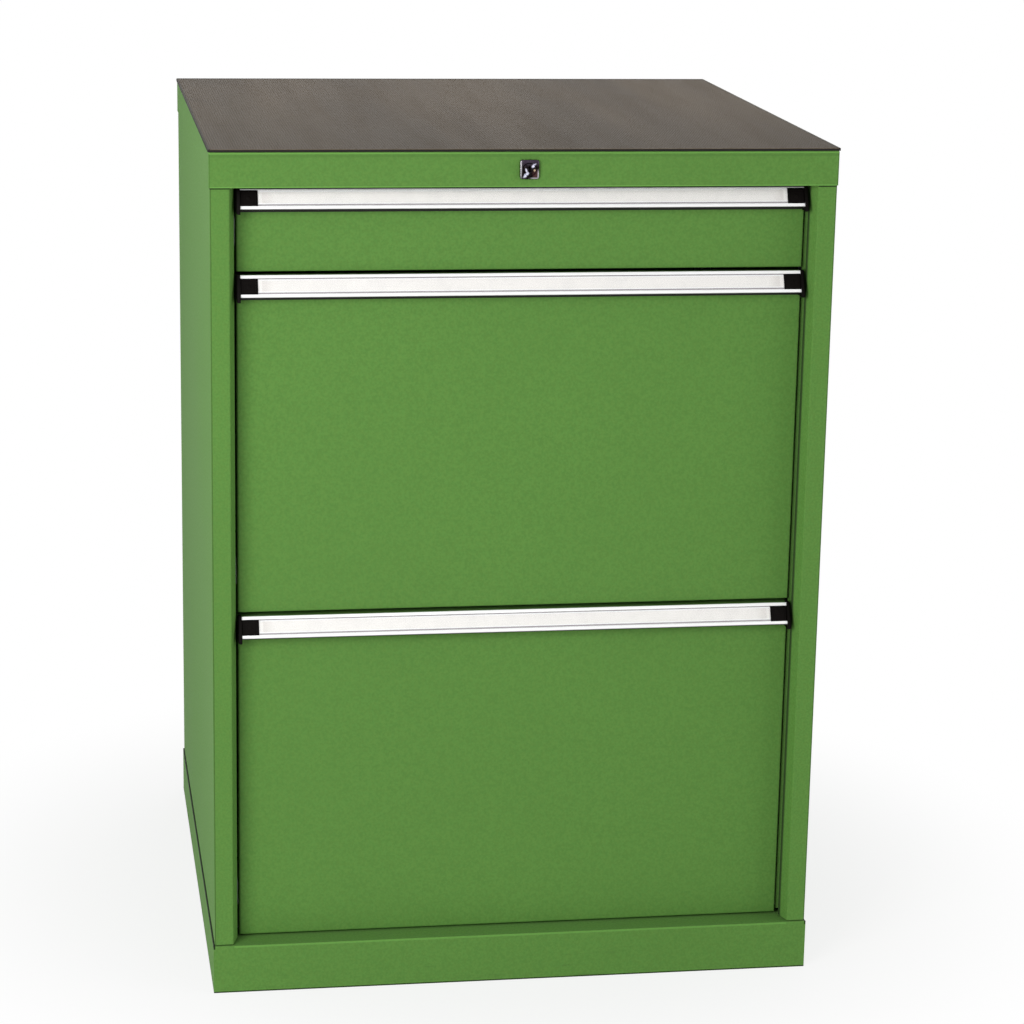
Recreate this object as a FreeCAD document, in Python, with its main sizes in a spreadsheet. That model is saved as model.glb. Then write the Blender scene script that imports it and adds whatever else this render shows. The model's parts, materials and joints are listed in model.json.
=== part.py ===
import FreeCAD, Part
import math
import os
import re
import Sketcher

# A workshop cabinet with one low and two tall drawers for machining tools.
# Millimetres. X to the right, Y to the back, Z up. The origin is on the floor under the centre.
# Depths are counted back from the front plane of the side walls.

DIMENSIONS = {
    # Housing of folded sheet steel
    "housing_width": 717.0,
    "housing_depth": 725.0,
    "cabinet_height": 1000.0,
    "sheet": 1.5,
    "bend": 2.0,
    "cover_sheet": 1.0,
    "cover_skirt": 40.0,
    "mat_thickness": 3.0,
    "mat_overhang": 1.0,
    "plinth_height": 59.0,
    "plinth_flange": 30.0,
    "wall_bottom": 60.5,
    "post_face": 22.0,
    "post_taper": 6.0,
    "post_return": 21.0,
    "post_fold": 14.0,
    "rear_flange": 20.0,
    # Drawer modules, from the floor of the lowest one upwards
    "floor_level": 60.0,
    "low_front": 100.0,
    "tall_front": 400.0,
    "front_width": 655.5,
    "front_recess": 27.0,
    "front_fold": 20.0,
    "front_gap": 1.3,
    "front_top_gap": 4.5,
    # Drawer trays, inside size
    "tray_width": 612.0,
    "tray_depth": 636.0,
    "tray_base": 12.0,
    "low_wall": 75.0,
    "tall_wall": 250.0,
    "rim": 9.0,
    "slit_pitch": 34.0,
    "slit_width": 2.4,
    # Handle strip, whose face leans back from its lower lip
    "handle_length": 647.8,
    "handle_drop": 26.4,
    "handle_nose": 19.0,
    "face_lean": 23.7,
    "face_height": 27.68,
    "lower_lip": 5.0,
    "upper_lip": 4.0,
    "lip_thickness": 0.6,
    "lip_hook": 1.0,
    "channel_floor": 1.8,
    "strip_wall": 3.4,
    "grip_bead": 4.6,
    "cap_plug": 19.8,
    "cap_flange": 4.6,
    "strip_round": 2.0,
    # Runners, three nested channels on each side
    "runner_start": 50.0,
    "runner_length": 615.0,
    "runner_level": 42.0,
    "drawer_rail_half": 14.0,
    "middle_rail_half": 18.4,
    "cabinet_rail_half": 23.2,
    "rail_gauge": 1.4,
    "cabinet_rail_gauge": 1.8,
    "upright_width": 30.0,
    "upright_pitch": 50.0,
    # Cylinder lock in the middle of the cover's front skirt
    "lock_level": 980.0,
    "lock_square": 22.0,
    "lock_stand": 4.0,
    "plug_radius": 7.0,
    "plug_clearance": 0.08,
    "cam_radius": 11.0,
    "cam_lift": 7.778,
    "pin_radius": 2.0,
    # Carriers and taper sockets in the tall drawers
    "carrier_level": 150.0,
    "carrier_depth": 112.0,
    "carrier_fold": 26.0,
    "socket_wall": 5.0,
    "socket_collar": 10.0,
    "socket_depth": 30.0,
    "taper_angle": 8.297,
}

doc = FreeCAD.newDocument("tool_cabinet")
sizes = doc.addObject("Spreadsheet::Sheet", "sizes")
for row, (alias, number) in enumerate(DIMENSIONS.items(), start=1):
    sizes.set(f"A{row}", alias)
    sizes.set(f"B{row}", str(number))
    sizes.setAlias(f"B{row}", alias)
doc.recompute()

NODES = {}
PLANES = {"x": ("YZ_Plane", 1, False), "y": ("XZ_Plane", -1, True), "z": ("XY_Plane", 1, False)}


# Tools for bound sizes

def bound(expression):
    """The expression with every driving dimension read from the sheet."""
    return re.sub(
        r"[a-z_]+",
        lambda word: "sizes." + word[0] if word[0] in DIMENSIONS else word[0],
        str(expression),
    )


def value(expression):
    """The number that an expression has now."""
    return float(sizes.evalExpression(bound(expression)))


# Tools for bodies

def new_body(name, height="0"):
    """An empty body, lifted by the expression height."""
    body = doc.addObject("PartDesign::Body", name)
    body.Label = name
    body.setExpression("Placement.Base.z", bound(height))
    return body


def origin_feature(body, role):
    """The plane or axis of a body's own origin that has this role."""
    return next(f for f in body.Origin.OriginFeatures if f.Role == role)


def new_sketch(body, axis, start):
    """An empty sketch square to an axis of the body, at the expression start along it."""
    role, sign, _ = PLANES[axis]
    sketch = body.newObject("Sketcher::SketchObject", body.Name + "_sketch")
    sketch.AttachmentSupport = [(origin_feature(body, role), "")]
    sketch.MapMode = "FlatFace"
    sketch.setExpression("AttachmentOffset.Base.z", bound(f"{sign} * ({start})"))
    return sketch


def pin_down(sketch, edge, end, x, y):
    """Hold one end of a sketch edge at two bound coordinates."""
    for kind, expression in (("DistanceX", x), ("DistanceY", y)):
        place = sketch.addConstraint(Sketcher.Constraint(kind, -1, 1, edge, end, value(expression)))
        sketch.setExpression(f"Constraints[{place}]", bound(expression))


def draw_outline(sketch, corners):
    """Straight sides through corners, each a pair of expressions."""
    points = [FreeCAD.Vector(value(x), value(y), 0) for x, y in corners]
    first = sketch.GeometryCount
    count = len(points)
    for i in range(count):
        sketch.addGeometry(Part.LineSegment(points[i], points[(i + 1) % count]), False)
    for i, (x, y) in enumerate(corners):
        following = first + (i + 1) % count
        sketch.addConstraint(Sketcher.Constraint("Coincident", first + i, 2, following, 1))
        pin_down(sketch, first + i, 1, x, y)


def draw_circle(sketch, x, y, radius):
    """A circle with bound centre and radius."""
    centre = FreeCAD.Vector(value(x), value(y), 0)
    edge = sketch.addGeometry(Part.Circle(centre, FreeCAD.Vector(0, 0, 1), value(radius)), False)
    pin_down(sketch, edge, 3, x, y)
    size = sketch.addConstraint(Sketcher.Constraint("Radius", edge, value(radius)))
    sketch.setExpression(f"Constraints[{size}]", bound(radius))


def extrude(body, sketch, axis, length, kind="Pad"):
    """Pad or pocket a sketch along its axis by the expression length."""
    doc.recompute()
    before = body.Shape.Volume if kind == "Pocket" else 0
    feature = body.newObject("PartDesign::" + kind, f"{body.Name}_{kind.lower()}")
    feature.Profile = sketch
    feature.setExpression("Length", bound(length))
    feature.Reversed = PLANES[axis][2] == (kind == "Pad")
    doc.recompute()
    if kind == "Pocket" and body.Shape.Volume > before - 0.01:
        raise ValueError(f"{feature.Name} cuts nothing")
    return feature


def pad(body, axis, corners, start, length):
    """Add a prism with this outline."""
    sketch = new_sketch(body, axis, start)
    draw_outline(sketch, corners)
    return extrude(body, sketch, axis, length)


def pocket(body, axis, corners, start, length):
    """Cut a prism with this outline."""
    sketch = new_sketch(body, axis, start)
    draw_outline(sketch, corners)
    return extrude(body, sketch, axis, length, "Pocket")


def pad_disc(body, axis, centre, radius, start, length):
    """Add a round bar."""
    sketch = new_sketch(body, axis, start)
    draw_circle(sketch, *centre, radius)
    return extrude(body, sketch, axis, length)


def pocket_disc(body, axis, centre, radius, start, length):
    """Cut a round hole."""
    sketch = new_sketch(body, axis, start)
    draw_circle(sketch, *centre, radius)
    return extrude(body, sketch, axis, length, "Pocket")


def lean(body, middle, level, angle):
    """Tilt the upright faces whose middles lie at one level, hinged on the flat face at another.

    A positive angle narrows a hole downwards, a negative one the outside.
    """
    base = body.Tip
    upright = []
    hinges = []
    for i, face in enumerate(base.Shape.Faces, start=1):
        rise = abs(face.normalAt(0, 0).z)
        height = face.CenterOfMass.z
        if rise < 0.01 and abs(height - value(middle)) < 0.01:
            upright.append(f"Face{i}")
        if rise > 0.99 and abs(height - value(level)) < 0.01:
            hinges.append(f"Face{i}")
    feature = body.newObject("PartDesign::Draft", body.Name + "_draft")
    feature.Base = (base, upright)
    feature.NeutralPlane = (base, hinges[:1])
    feature.setExpression("Angle", bound(angle.lstrip("-")))
    feature.Reversed = angle.startswith("-")
    doc.recompute()
    return feature


def repeat(body, features, axis, length, count):
    """Repeat features, or with none of them the whole body, along an axis evenly over a length."""
    pattern = body.newObject("PartDesign::LinearPattern", body.Name + "_pattern")
    if features:
        pattern.Originals = features
    else:
        pattern.TransformMode = "Whole shape"
    pattern.Direction = (origin_feature(body, axis.upper() + "_Axis"), [""])
    pattern.setExpression("Length", bound(length))
    pattern.Occurrences = count
    body.Tip = pattern
    doc.recompute()
    return pattern


def runs_along(edge, axis, at):
    """Whether an edge is straight along an axis (or any way, for "any") through the place at."""
    if not isinstance(edge.Curve, Part.Line):
        return False
    direction = edge.tangentAt(edge.FirstParameter)
    middle = edge.CenterOfMass
    return (axis == "any" or abs(getattr(direction, axis)) > 0.999) and all(
        abs(getattr(middle, key) - value(expression)) < 0.01 for key, expression in at.items()
    )


def finish_edges(body, kind, size, places):
    """Fillet or chamfer the straight edges at places, each an axis and its coordinates."""
    base = body.Tip
    found = []
    for axis, at in places:
        names = [
            f"Edge{i}"
            for i, edge in enumerate(base.Shape.Edges, start=1)
            if runs_along(edge, axis, at)
        ]
        if not names:
            raise ValueError(f"{body.Name} has no edge along {axis} at {at}")
        found += names
    feature = body.newObject("PartDesign::" + kind, f"{body.Name}_{kind.lower()}")
    feature.Base = (base, found)
    feature.setExpression("Radius" if kind == "Fillet" else "Size", bound(size))
    doc.recompute()
    return feature


def box_corners(x_low, x_high, y_low, y_high):
    """The four corners of a rectangle."""
    return [(x_low, y_low), (x_high, y_low), (x_high, y_high), (x_low, y_high)]


def polygon(x, y, half, sides):
    """Corners of a regular polygon whose flats lie at a half width from its centre."""
    corners = []
    for i in range(sides):
        angle = (i + 0.5) * 2 * math.pi / sides
        reach = 1 / math.cos(math.pi / sides)
        corners.append((f"{x} + ({half}) * {reach * math.cos(angle):.5f}",
                        f"{y} + ({half}) * {reach * math.sin(angle):.5f}"))
    return corners


def keep(part, name=None):
    """Name a finished piece as a node of its own."""
    part.Label = name or part.Label
    NODES[part.Label] = part
    return part


def mirrored(part, name, normal=(1, 0, 0)):
    """The mirror image of a part about the plane through the origin."""
    image = doc.addObject("Part::Mirroring", name)
    image.Source = part
    image.Normal = normal
    image.Label = name
    return image


def keep_pair(part, name):
    """A part and its mirror image on the other side, as one node."""
    pair = doc.addObject("Part::Compound", name)
    pair.Links = [part, mirrored(part, name + "_right")]
    return keep(pair, name)


def back(depth):
    """The Y coordinate at a depth behind the front plane of the side walls."""
    return f"(-housing_depth / 2 + ({depth}))"


# Housing

def build_side_walls():
    """Side wall, front post and rear flange folded from one sheet, and its mirror image."""
    outer = "-housing_width / 2"
    tip = f"({outer} + post_face + post_taper)"
    lean = "1.04 * sheet"
    corners = [
        (outer, back("housing_depth")),
        (outer, back(0)),
        (f"{outer} + post_face", back(0)),
        (tip, back("post_return")),
        (f"{tip} - post_fold", back("post_return")),
        (f"{tip} - post_fold", back("post_return - sheet")),
        (f"{tip} - post_taper * sheet / post_return - {lean}", back("post_return - sheet")),
        (f"{outer} + post_face + post_taper * sheet / post_return - {lean}", back("sheet")),
        (f"{outer} + sheet", back("sheet")),
        (f"{outer} + sheet", back("housing_depth - sheet")),
        (f"{outer} + rear_flange", back("housing_depth - sheet")),
        (f"{outer} + rear_flange", back("housing_depth")),
    ]
    wall = new_body("left_side_wall")
    pad(wall, "z", corners, "wall_bottom", "cabinet_height - sheet - wall_bottom")
    folds = [corners[0], corners[1], corners[2]]
    finish_edges(wall, "Fillet", "bend", [("z", {"x": x, "y": y}) for x, y in folds])
    keep(wall)
    keep(mirrored(wall, "right_side_wall"))


def build_rear_panel():
    """Sheet welded inside the rear flanges, stiffened by two upright swages."""
    panel = new_body("rear_panel")
    half = "(housing_width / 2 - sheet)"
    rear = back("housing_depth - sheet")
    pad(panel, "z", box_corners(f"-{half}", half, f"{rear} - sheet", rear),
        "wall_bottom", "cabinet_height - sheet - wall_bottom")
    for side in (-1, 1):
        x = f"{side} * housing_width / 5"
        ridge = [(f"{x} - 14", f"{rear} - sheet"), (f"{x} - 8", f"{rear} - sheet - 4"),
                 (f"{x} + 8", f"{rear} - sheet - 4"), (f"{x} + 14", f"{rear} - sheet")]
        groove = [(f"{x} - 12", rear), (f"{x} - 6.4", f"{rear} - 4"),
                  (f"{x} + 6.4", f"{rear} - 4"), (f"{x} + 12", rear)]
        pad(panel, "z", ridge, "wall_bottom + 70", "cabinet_height - wall_bottom - 140")
        pocket(panel, "z", groove, "wall_bottom + 72", "cabinet_height - wall_bottom - 144")
    keep(panel)


def build_bottom_panel():
    """Floor of the housing, a tray with its long edges folded up."""
    floor = new_body("bottom_panel")
    half = "(housing_width / 2 - sheet)"
    base = "wall_bottom"
    corners = [
        (f"-{half}", f"{base} + 20"), (f"-{half}", base), (half, base), (half, f"{base} + 20"),
        (f"{half} - sheet", f"{base} + 20"), (f"{half} - sheet", f"{base} + sheet"),
        (f"-{half} + sheet", f"{base} + sheet"), (f"-{half} + sheet", f"{base} + 20"),
    ]
    pad(floor, "y", corners, back("front_recess + front_fold + 5"),
        "housing_depth - front_recess - front_fold - 5 - 2 * sheet")
    keep(floor)


def build_plinth():
    """Base frame: folded front and rear rails, and two side rails between them."""
    half = "(housing_width / 2 + sheet)"
    face = back("-sheet")
    rail = new_body("plinth_front")
    pad(rail, "z", box_corners(f"-{half}", half, face, back(0)), "0", "plinth_height")
    finish_edges(rail, "Fillet", "bend / 2", [
        ("x", {"y": face, "z": "plinth_height"}), ("z", {"x": half, "y": face}),
        ("z", {"x": f"-{half}", "y": face})])
    ledge_end = back("front_recess + front_fold + 12")
    for low, high, end in (("plinth_height - sheet", "plinth_height", ledge_end),
                           ("0", "sheet", back("plinth_flange"))):
        pad(rail, "x", box_corners(back("-sheet / 2"), end, low, high),
            "-housing_width / 2", "housing_width")
    keep(rail)
    keep(mirrored(rail, "plinth_rear", (0, 1, 0)))
    side = new_body("plinth_left")
    outer = f"-{half}"
    pad(side, "z", box_corners(outer, f"{outer} + sheet", back(0), back("housing_depth")),
        "0", "plinth_height")
    finish_edges(side, "Fillet", "bend / 2", [("y", {"x": outer, "z": "plinth_height"})])
    pad(side, "z", box_corners(f"{outer} + sheet / 2", f"{outer} + plinth_flange",
                               back("plinth_flange + 1"), back("housing_depth - plinth_flange - 1")),
        "0", "sheet")
    keep(side)
    keep(mirrored(side, "plinth_right"))


def build_cover():
    """Top cover with skirts on all four sides and a round hole for the lock."""
    cover = new_body("top_cover")
    half = "(housing_width / 2 + cover_sheet)"
    front = back("-cover_sheet")
    rear = back("housing_depth + cover_sheet")
    skirt = "cabinet_height - cover_skirt"
    pad(cover, "z", box_corners(f"-{half}", half, front, rear), skirt, "cover_skirt")
    finish_edges(cover, "Fillet", "bend", [
        ("x", {"y": front, "z": "cabinet_height"}), ("x", {"y": rear, "z": "cabinet_height"}),
        ("y", {"x": half, "z": "cabinet_height"}), ("y", {"x": f"-{half}", "z": "cabinet_height"}),
        ("z", {"x": half, "y": front}), ("z", {"x": f"-{half}", "y": front}),
        ("z", {"x": half, "y": rear}), ("z", {"x": f"-{half}", "y": rear})])
    inner = "housing_width / 2"
    pocket(cover, "z", box_corners(f"-{inner}", inner, back(0), back("housing_depth")),
           skirt, "cover_skirt - sheet")
    pocket_disc(cover, "y", ("0", "lock_level"), "plug_radius + 2.8", front, "2 * cover_sheet")
    keep(cover)


def build_mat():
    """Rubber mat that covers the top and reaches a little past its edges."""
    mat = new_body("top_mat")
    half = "(housing_width / 2 + cover_sheet + mat_overhang)"
    front = back("-cover_sheet - mat_overhang")
    rear = back("housing_depth + cover_sheet + mat_overhang")
    pad(mat, "z", box_corners(f"-{half}", half, front, rear), "cabinet_height", "mat_thickness")
    finish_edges(mat, "Fillet", "bend", [
        ("z", {"x": half, "y": front}), ("z", {"x": f"-{half}", "y": front}),
        ("z", {"x": half, "y": rear}), ("z", {"x": f"-{half}", "y": rear})])
    top = "cabinet_height + mat_thickness"
    finish_edges(mat, "Chamfer", "0.8", [
        ("x", {"y": front, "z": top}), ("x", {"y": rear, "z": top}),
        ("y", {"x": half, "z": top}), ("y", {"x": f"-{half}", "z": top})])
    keep(mat)


def build_uprights():
    """Four slotted channels that the runners hook into."""
    web = "(housing_width / 2 - sheet - 17)"
    root = "(housing_width / 2 - sheet)"
    low = "wall_bottom + 22"
    pairs = []
    for place, depth in (("front", "runner_start + 12"), ("rear", "runner_start + runner_length - 42")):
        upright = new_body(f"{place}_upright")
        y_low = back(depth)
        y_high = back(f"{depth} + upright_width")
        corners = [
            (root, y_low), (web, y_low), (web, y_high), (root, y_high), (root, f"{y_high} - sheet"),
            (f"{web} + sheet", f"{y_high} - sheet"), (f"{web} + sheet", f"{y_low} + sheet"),
            (root, f"{y_low} + sheet"),
        ]
        pad(upright, "z", corners, low, "cabinet_height - cover_skirt - wall_bottom - 24")
        middle = back(f"{depth} + upright_width / 2")
        slot = pocket(upright, "x", box_corners(f"{middle} - 2.5", f"{middle} + 2.5",
                                                f"{low} + 8", f"{low} + 20"),
                      f"{web} - 1", "sheet + 2")
        count = int(value("(cabinet_height - cover_skirt - wall_bottom - 50) / upright_pitch")) + 1
        repeat(upright, [slot], "z", f"{count - 1} * upright_pitch", count)
        pairs += [upright, mirrored(upright, f"{place}_upright_left")]
    group = doc.addObject("Part::Compound", "runner_uprights")
    group.Links = pairs
    keep(group, "runner_uprights")


# Lock

def build_lock():
    """Square escutcheon and its nut, the turning plug with its cam, and the bars that it moves."""
    front = back("-cover_sheet")
    half = "lock_square / 2"
    square = box_corners(f"-{half}", half, f"lock_level - {half}", f"lock_level + {half}")
    bezel = new_body("lock_bezel")
    face = f"{front} - lock_stand"
    pad(bezel, "y", square, face, "lock_stand")
    finish_edges(bezel, "Fillet", "3", [("y", {"x": x, "z": z}) for x, z in square])
    finish_edges(bezel, "Chamfer", "1.4", [
        ("x", {"y": face, "z": f"lock_level + {half}"}),
        ("x", {"y": face, "z": f"lock_level - {half}"}),
        ("z", {"y": face, "x": half}), ("z", {"y": face, "x": f"-{half}"})])
    pad_disc(bezel, "y", ("0", "lock_level"), "plug_radius + 2.7", front, "24")
    pocket_disc(bezel, "y", ("0", "lock_level"), "plug_radius + plug_clearance", face, "30")
    keep(bezel)

    nut = new_body("lock_nut")
    pad(nut, "y", polygon("0", "lock_level", "plug_radius + 5", 6), back("0"), "4")
    pocket_disc(nut, "y", ("0", "lock_level"), "plug_radius + 2.7", back("0"), "4")
    keep(nut)

    plug = new_body("lock_plug")
    pad_disc(plug, "y", ("0", "lock_level"), "plug_radius", f"{face} + 0.6", "29")
    pocket(plug, "y", box_corners("-1.1", "1.1", "lock_level - 4.2", "lock_level + 4.2"),
           f"{face} + 0.6", "9")
    keep(plug)

    cam_start = f"{face} + 29.6"
    cam = new_body("lock_cam")
    pad_disc(cam, "y", ("0", "lock_level"), "plug_radius", cam_start, "2.5")
    reach = "cam_lift"
    arm = [("-3.6 ", "lock_level - 3.6"), ("3.6", "lock_level + 3.6"),
           (f"-{reach} + 3.2", f"lock_level + {reach} + 3.2"),
           (f"-{reach} - 3.2", f"lock_level + {reach} - 3.2")]
    pad(cam, "y", arm, cam_start, "2.5")
    pad(cam, "y", polygon(f"-{reach}", f"lock_level + {reach}", "4.5", 8), cam_start, "2.5")
    pad_disc(cam, "y", (f"-{reach}", f"lock_level + {reach}"), "pin_radius", cam_start, "8")
    keep(cam)

    bar_front = f"{cam_start} + 4"
    slot_x = f"(-{reach})"
    drop = "lock_level - 14"
    bar_end = "(housing_width / 2 - 18.2)"
    bar = new_body("lock_bar")
    corners = [
        ("-60", "lock_level + 1"), (f"{bar_end} - 18", "lock_level + 1"), (f"{bar_end} - 18", drop),
        (bar_end, drop), (bar_end, "lock_level + 17"), ("-60", "lock_level + 17"),
    ]
    pad(bar, "y", corners, bar_front, "2")
    pocket(bar, "y", box_corners(f"{slot_x} - pin_radius - 0.6", f"{slot_x} + pin_radius + 0.6",
                                 "lock_level + cam_lift - 2.7", "lock_level + cam_radius + 2.7"),
           bar_front, "2")
    pin_x = f"({bar_end} - 4.3)"
    pad_disc(bar, "y", (pin_x, "lock_level - 8"), "pin_radius", bar_front, "6.5")
    keep(bar)

    rail_front = f"{bar_front} + 2.6"
    rail = new_body("locking_rail")
    inner = "(housing_width / 2 - 29)"
    outer = "(housing_width / 2 - 2.5)"
    pad(rail, "y", box_corners(inner, outer, "wall_bottom + 4", "lock_level - 1.5"), rail_front, "3")
    run = "2 * cam_lift"
    play = "(pin_radius + 0.3) * 1.4142"
    pin_z = "(lock_level - 8)"
    slot = [
        (f"{pin_x} - {play}", pin_z), (f"{pin_x} + {run}", f"{pin_z} - {run} - {play}"),
        (f"{pin_x} + {run} + {play}", f"{pin_z} - {run}"), (pin_x, f"{pin_z} + {play}"),
    ]
    pocket(rail, "y", slot, rail_front, "3")
    keep(rail)


def build_bar_guides():
    """Two shelves under the cover that carry the lock bar, and two clips that hold the rail."""
    guide_front = f"{back('-cover_sheet')} - lock_stand + 29.6 + 6.3"
    for name, x in (("left_guide", "-42"), ("right_guide", "220")):
        guide = new_body(name)
        profile = [
            (guide_front, "lock_level - 4"), (f"{guide_front} + sheet", "lock_level - 4"),
            (f"{guide_front} + sheet", "cabinet_height - 2 * sheet"),
            (f"{guide_front} + 14", "cabinet_height - 2 * sheet"),
            (f"{guide_front} + 14", "cabinet_height - sheet"), (guide_front, "cabinet_height - sheet"),
        ]
        pad(guide, "x", profile, x, "22")
        pad(guide, "x", box_corners(f"{guide_front} - 2.6", f"{guide_front} + sheet",
                                    "lock_level - 4", "lock_level + 0.6"), x, "22")
    wall = "(housing_width / 2 - sheet)"
    rail_front = f"{back('-cover_sheet')} - lock_stand + 29.6 + 4 + 2.6"
    for name, z in (("lower_guide", "250"), ("upper_guide", "780")):
        guide = new_body(name)
        clip = [
            (wall, f"{rail_front} - 1.8"), (f"{wall} - 8", f"{rail_front} - 1.8"),
            (f"{wall} - 8", f"{rail_front} - 0.3"), (f"{wall} - 0.7", f"{rail_front} - 0.3"),
            (f"{wall} - 0.7", f"{rail_front} + 3.3"), (f"{wall} - 8", f"{rail_front} + 3.3"),
            (f"{wall} - 8", f"{rail_front} + 4.8"), (wall, f"{rail_front} + 4.8"),
        ]
        pad(guide, "z", clip, z, "30")
    group = doc.addObject("Part::Compound", "lock_bar_guides")
    group.Links = [doc.getObject(f"{place}_guide") for place in ("left", "right", "lower", "upper")]
    keep(group, "lock_bar_guides")


# Drawers. Heights are counted from the floor of the drawer's module.

def on_face(along, deep):
    """Depth and height of a point of the handle's section: along its leaning face and into it."""
    depth = back(f"front_recess - handle_nose + ({along}) * sin(face_lean) + ({deep}) * cos(face_lean)")
    height = f"(-handle_drop + ({along}) * cos(face_lean) - ({deep}) * sin(face_lean))"
    return depth, height


def build_front(name, base, height):
    """Drawer front, a shallow pan open to the back."""
    front = new_body(f"{name}_front", base)
    half = "(front_width / 2)"
    face = back("front_recess")
    top = f"{height} - front_top_gap"
    pad(front, "y", box_corners(f"-{half}", half, "front_gap", top), face, "front_fold")
    edges = [("x", {"y": face, "z": "front_gap"}), ("x", {"y": face, "z": top}),
             ("z", {"x": half, "y": face}), ("z", {"x": f"-{half}", "y": face})]
    finish_edges(front, "Fillet", "bend", edges)
    inside = box_corners(f"-{half} + sheet", f"{half} - sheet", "front_gap + sheet", f"{top} - sheet")
    pocket(front, "y", inside, f"{face} + sheet", "front_fold")
    keep(front)


def build_tray(name, base, wall):
    """Side walls with outward rims and slits, back wall and floor of a drawer."""
    half = "(tray_width / 2)"
    start = back("front_recess + sheet")
    top = f"tray_base + {wall}"
    side = new_body(f"{name}_left_wall", base)
    corners = [
        (f"-{half}", "tray_base"), (f"-{half}", top), (f"-{half} - rim", top),
        (f"-{half} - rim", f"{top} - sheet"), (f"-{half} - sheet", f"{top} - sheet"),
        (f"-{half} - sheet", "tray_base"),
    ]
    pad(side, "y", corners, start, "tray_depth")
    middle = back("front_recess + front_fold + slit_pitch / 2")
    slit_low = f"tray_base + {wall} - 12 - {26 if wall == 'low_wall' else 60}"
    slit = pocket(side, "x", box_corners(f"{middle} - slit_width / 2", f"{middle} + slit_width / 2",
                                         slit_low, f"{top} - 12"), f"-{half} - 2 * sheet", "3 * sheet")
    count = int(value("(tray_depth - front_fold) / slit_pitch"))
    repeat(side, [slit], "y", f"{count - 1} * slit_pitch", count)
    keep(side)
    keep(mirrored(side, f"{name}_right_wall"))

    rear = new_body(f"{name}_back_wall", base)
    y_rear = back("front_recess + sheet + tray_depth")
    profile = [
        (y_rear, "tray_base"), (y_rear, top), (f"{y_rear} + rim", top),
        (f"{y_rear} + rim", f"{top} - sheet"), (f"{y_rear} + sheet", f"{top} - sheet"),
        (f"{y_rear} + sheet", "tray_base"),
    ]
    pad(rear, "x", profile, f"-{half} - sheet", "tray_width + 2 * sheet")
    keep(rear)

    floor = new_body(f"{name}_floor", base)
    pad(floor, "z", box_corners(f"-{half} - sheet", f"{half} + sheet", start, f"{y_rear} + sheet"),
        "tray_base - sheet", "sheet")
    keep(floor)


def build_handle(name, base, height):
    """Extruded handle strip with a label channel, held by lips at both edges."""
    top = f"{base} + {height}"
    web_high = on_face("face_height - 7.3", "strip_wall")
    web_low = on_face("face_height - 9.1", "strip_wall")
    flange = back("front_recess - 1.6")
    groove_low = "lower_lip - lip_hook"
    groove_high = "face_height - upper_lip + lip_hook"
    section = [
        on_face("0", "0"), on_face("lower_lip", "0"), on_face("lower_lip", "lip_thickness"),
        on_face(groove_low, "lip_thickness"), on_face(groove_low, "channel_floor"),
        on_face(groove_high, "channel_floor"), on_face(groove_high, "lip_thickness"),
        on_face("face_height - upper_lip", "lip_thickness"), on_face("face_height - upper_lip", "0"),
        on_face("face_height", "0"), on_face("face_height", "strip_wall"), web_high,
        (flange, web_high[1]), (flange, "-front_top_gap - 0.5"),
        (back("front_recess"), "-front_top_gap - 0.5"), (back("front_recess"), "-31"),
        (flange, "-31"), (flange, web_low[1]), web_low,
        on_face("4", "strip_wall"), on_face("4", "grip_bead"),
        (on_face("4", "grip_bead")[0], "-handle_drop"),
    ]
    handle = new_body(f"{name}_handle", top)
    pad(handle, "x", section, "-handle_length / 2", "handle_length")
    finish_edges(handle, "Fillet", "strip_round", [("x", {"y": section[0][0], "z": section[0][1]})])
    round_edges = [section[9], section[10], section[21]]
    finish_edges(handle, "Fillet", "strip_round / 2", [("x", {"y": y, "z": z}) for y, z in round_edges])
    keep(handle)


def build_end_caps(name, base, height):
    """Moulded cap on each end of the handle: an end plate and a plug in the label channel."""
    top = f"{base} + {height}"
    cap = new_body(f"{name}_left_cap", top)
    nose = on_face("-1.5", "-1.5")
    brow = on_face("face_height - 0.5", "-1.2")
    outline = [
        (back("front_recess"), "-0.7"), (brow[0], "-0.7"), nose, (nose[0], "-handle_drop - 4.6"),
        (back("front_recess"), "-handle_drop - 4.6"),
    ]
    end = "(-handle_length / 2)"
    pad(cap, "x", outline, f"{end} - cap_flange", "cap_flange")
    finish_edges(cap, "Fillet", "2.6", [("any", {"x": f"{end} - cap_flange"})])
    low = "lower_lip - 0.1 + 0.2"
    high = "face_height - upper_lip - 0.1"
    full = [on_face(low, "0.2"), on_face(high, "0.2"), on_face(high, "channel_floor"),
            on_face(low, "channel_floor")]
    dished = [
        on_face(low, "0.2"), on_face(f"{low} + 3", "0.2"), on_face(f"{low} + 3.4", "0.9"),
        on_face(f"{high} - 3.4", "0.9"), on_face(f"{high} - 3", "0.2"), on_face(high, "0.2"),
        on_face(high, "channel_floor"), on_face(low, "channel_floor"),
    ]
    for outline, start, length in ((full, "0", "3.4"), (dished, "3.4", "cap_plug - 6.8"),
                                   (full, "cap_plug - 3.4", "3.4")):
        pad(cap, "x", outline, f"{end} + {start}", length)
    keep_pair(cap, f"{name}_end_caps")


def build_label(name, base, height):
    """White label strip and the clear cover that slides over it, between the end caps."""
    top = f"{base} + {height}"
    low = "lower_lip - lip_hook + 0.1"
    high = "face_height - upper_lip + lip_hook - 0.1"
    length = "(handle_length - 2 * cap_plug - 0.4)"
    for part, shallow, deep in (("label", "1.45", "1.75"), ("label_cover", "0.7", "1.4")):
        strip = new_body(f"{name}_{part}", top)
        section = [
            on_face(low, shallow), on_face(high, shallow), on_face(high, deep), on_face(low, deep),
        ]
        pad(strip, "x", section, f"-{length} / 2", length)
        keep(strip)


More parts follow.
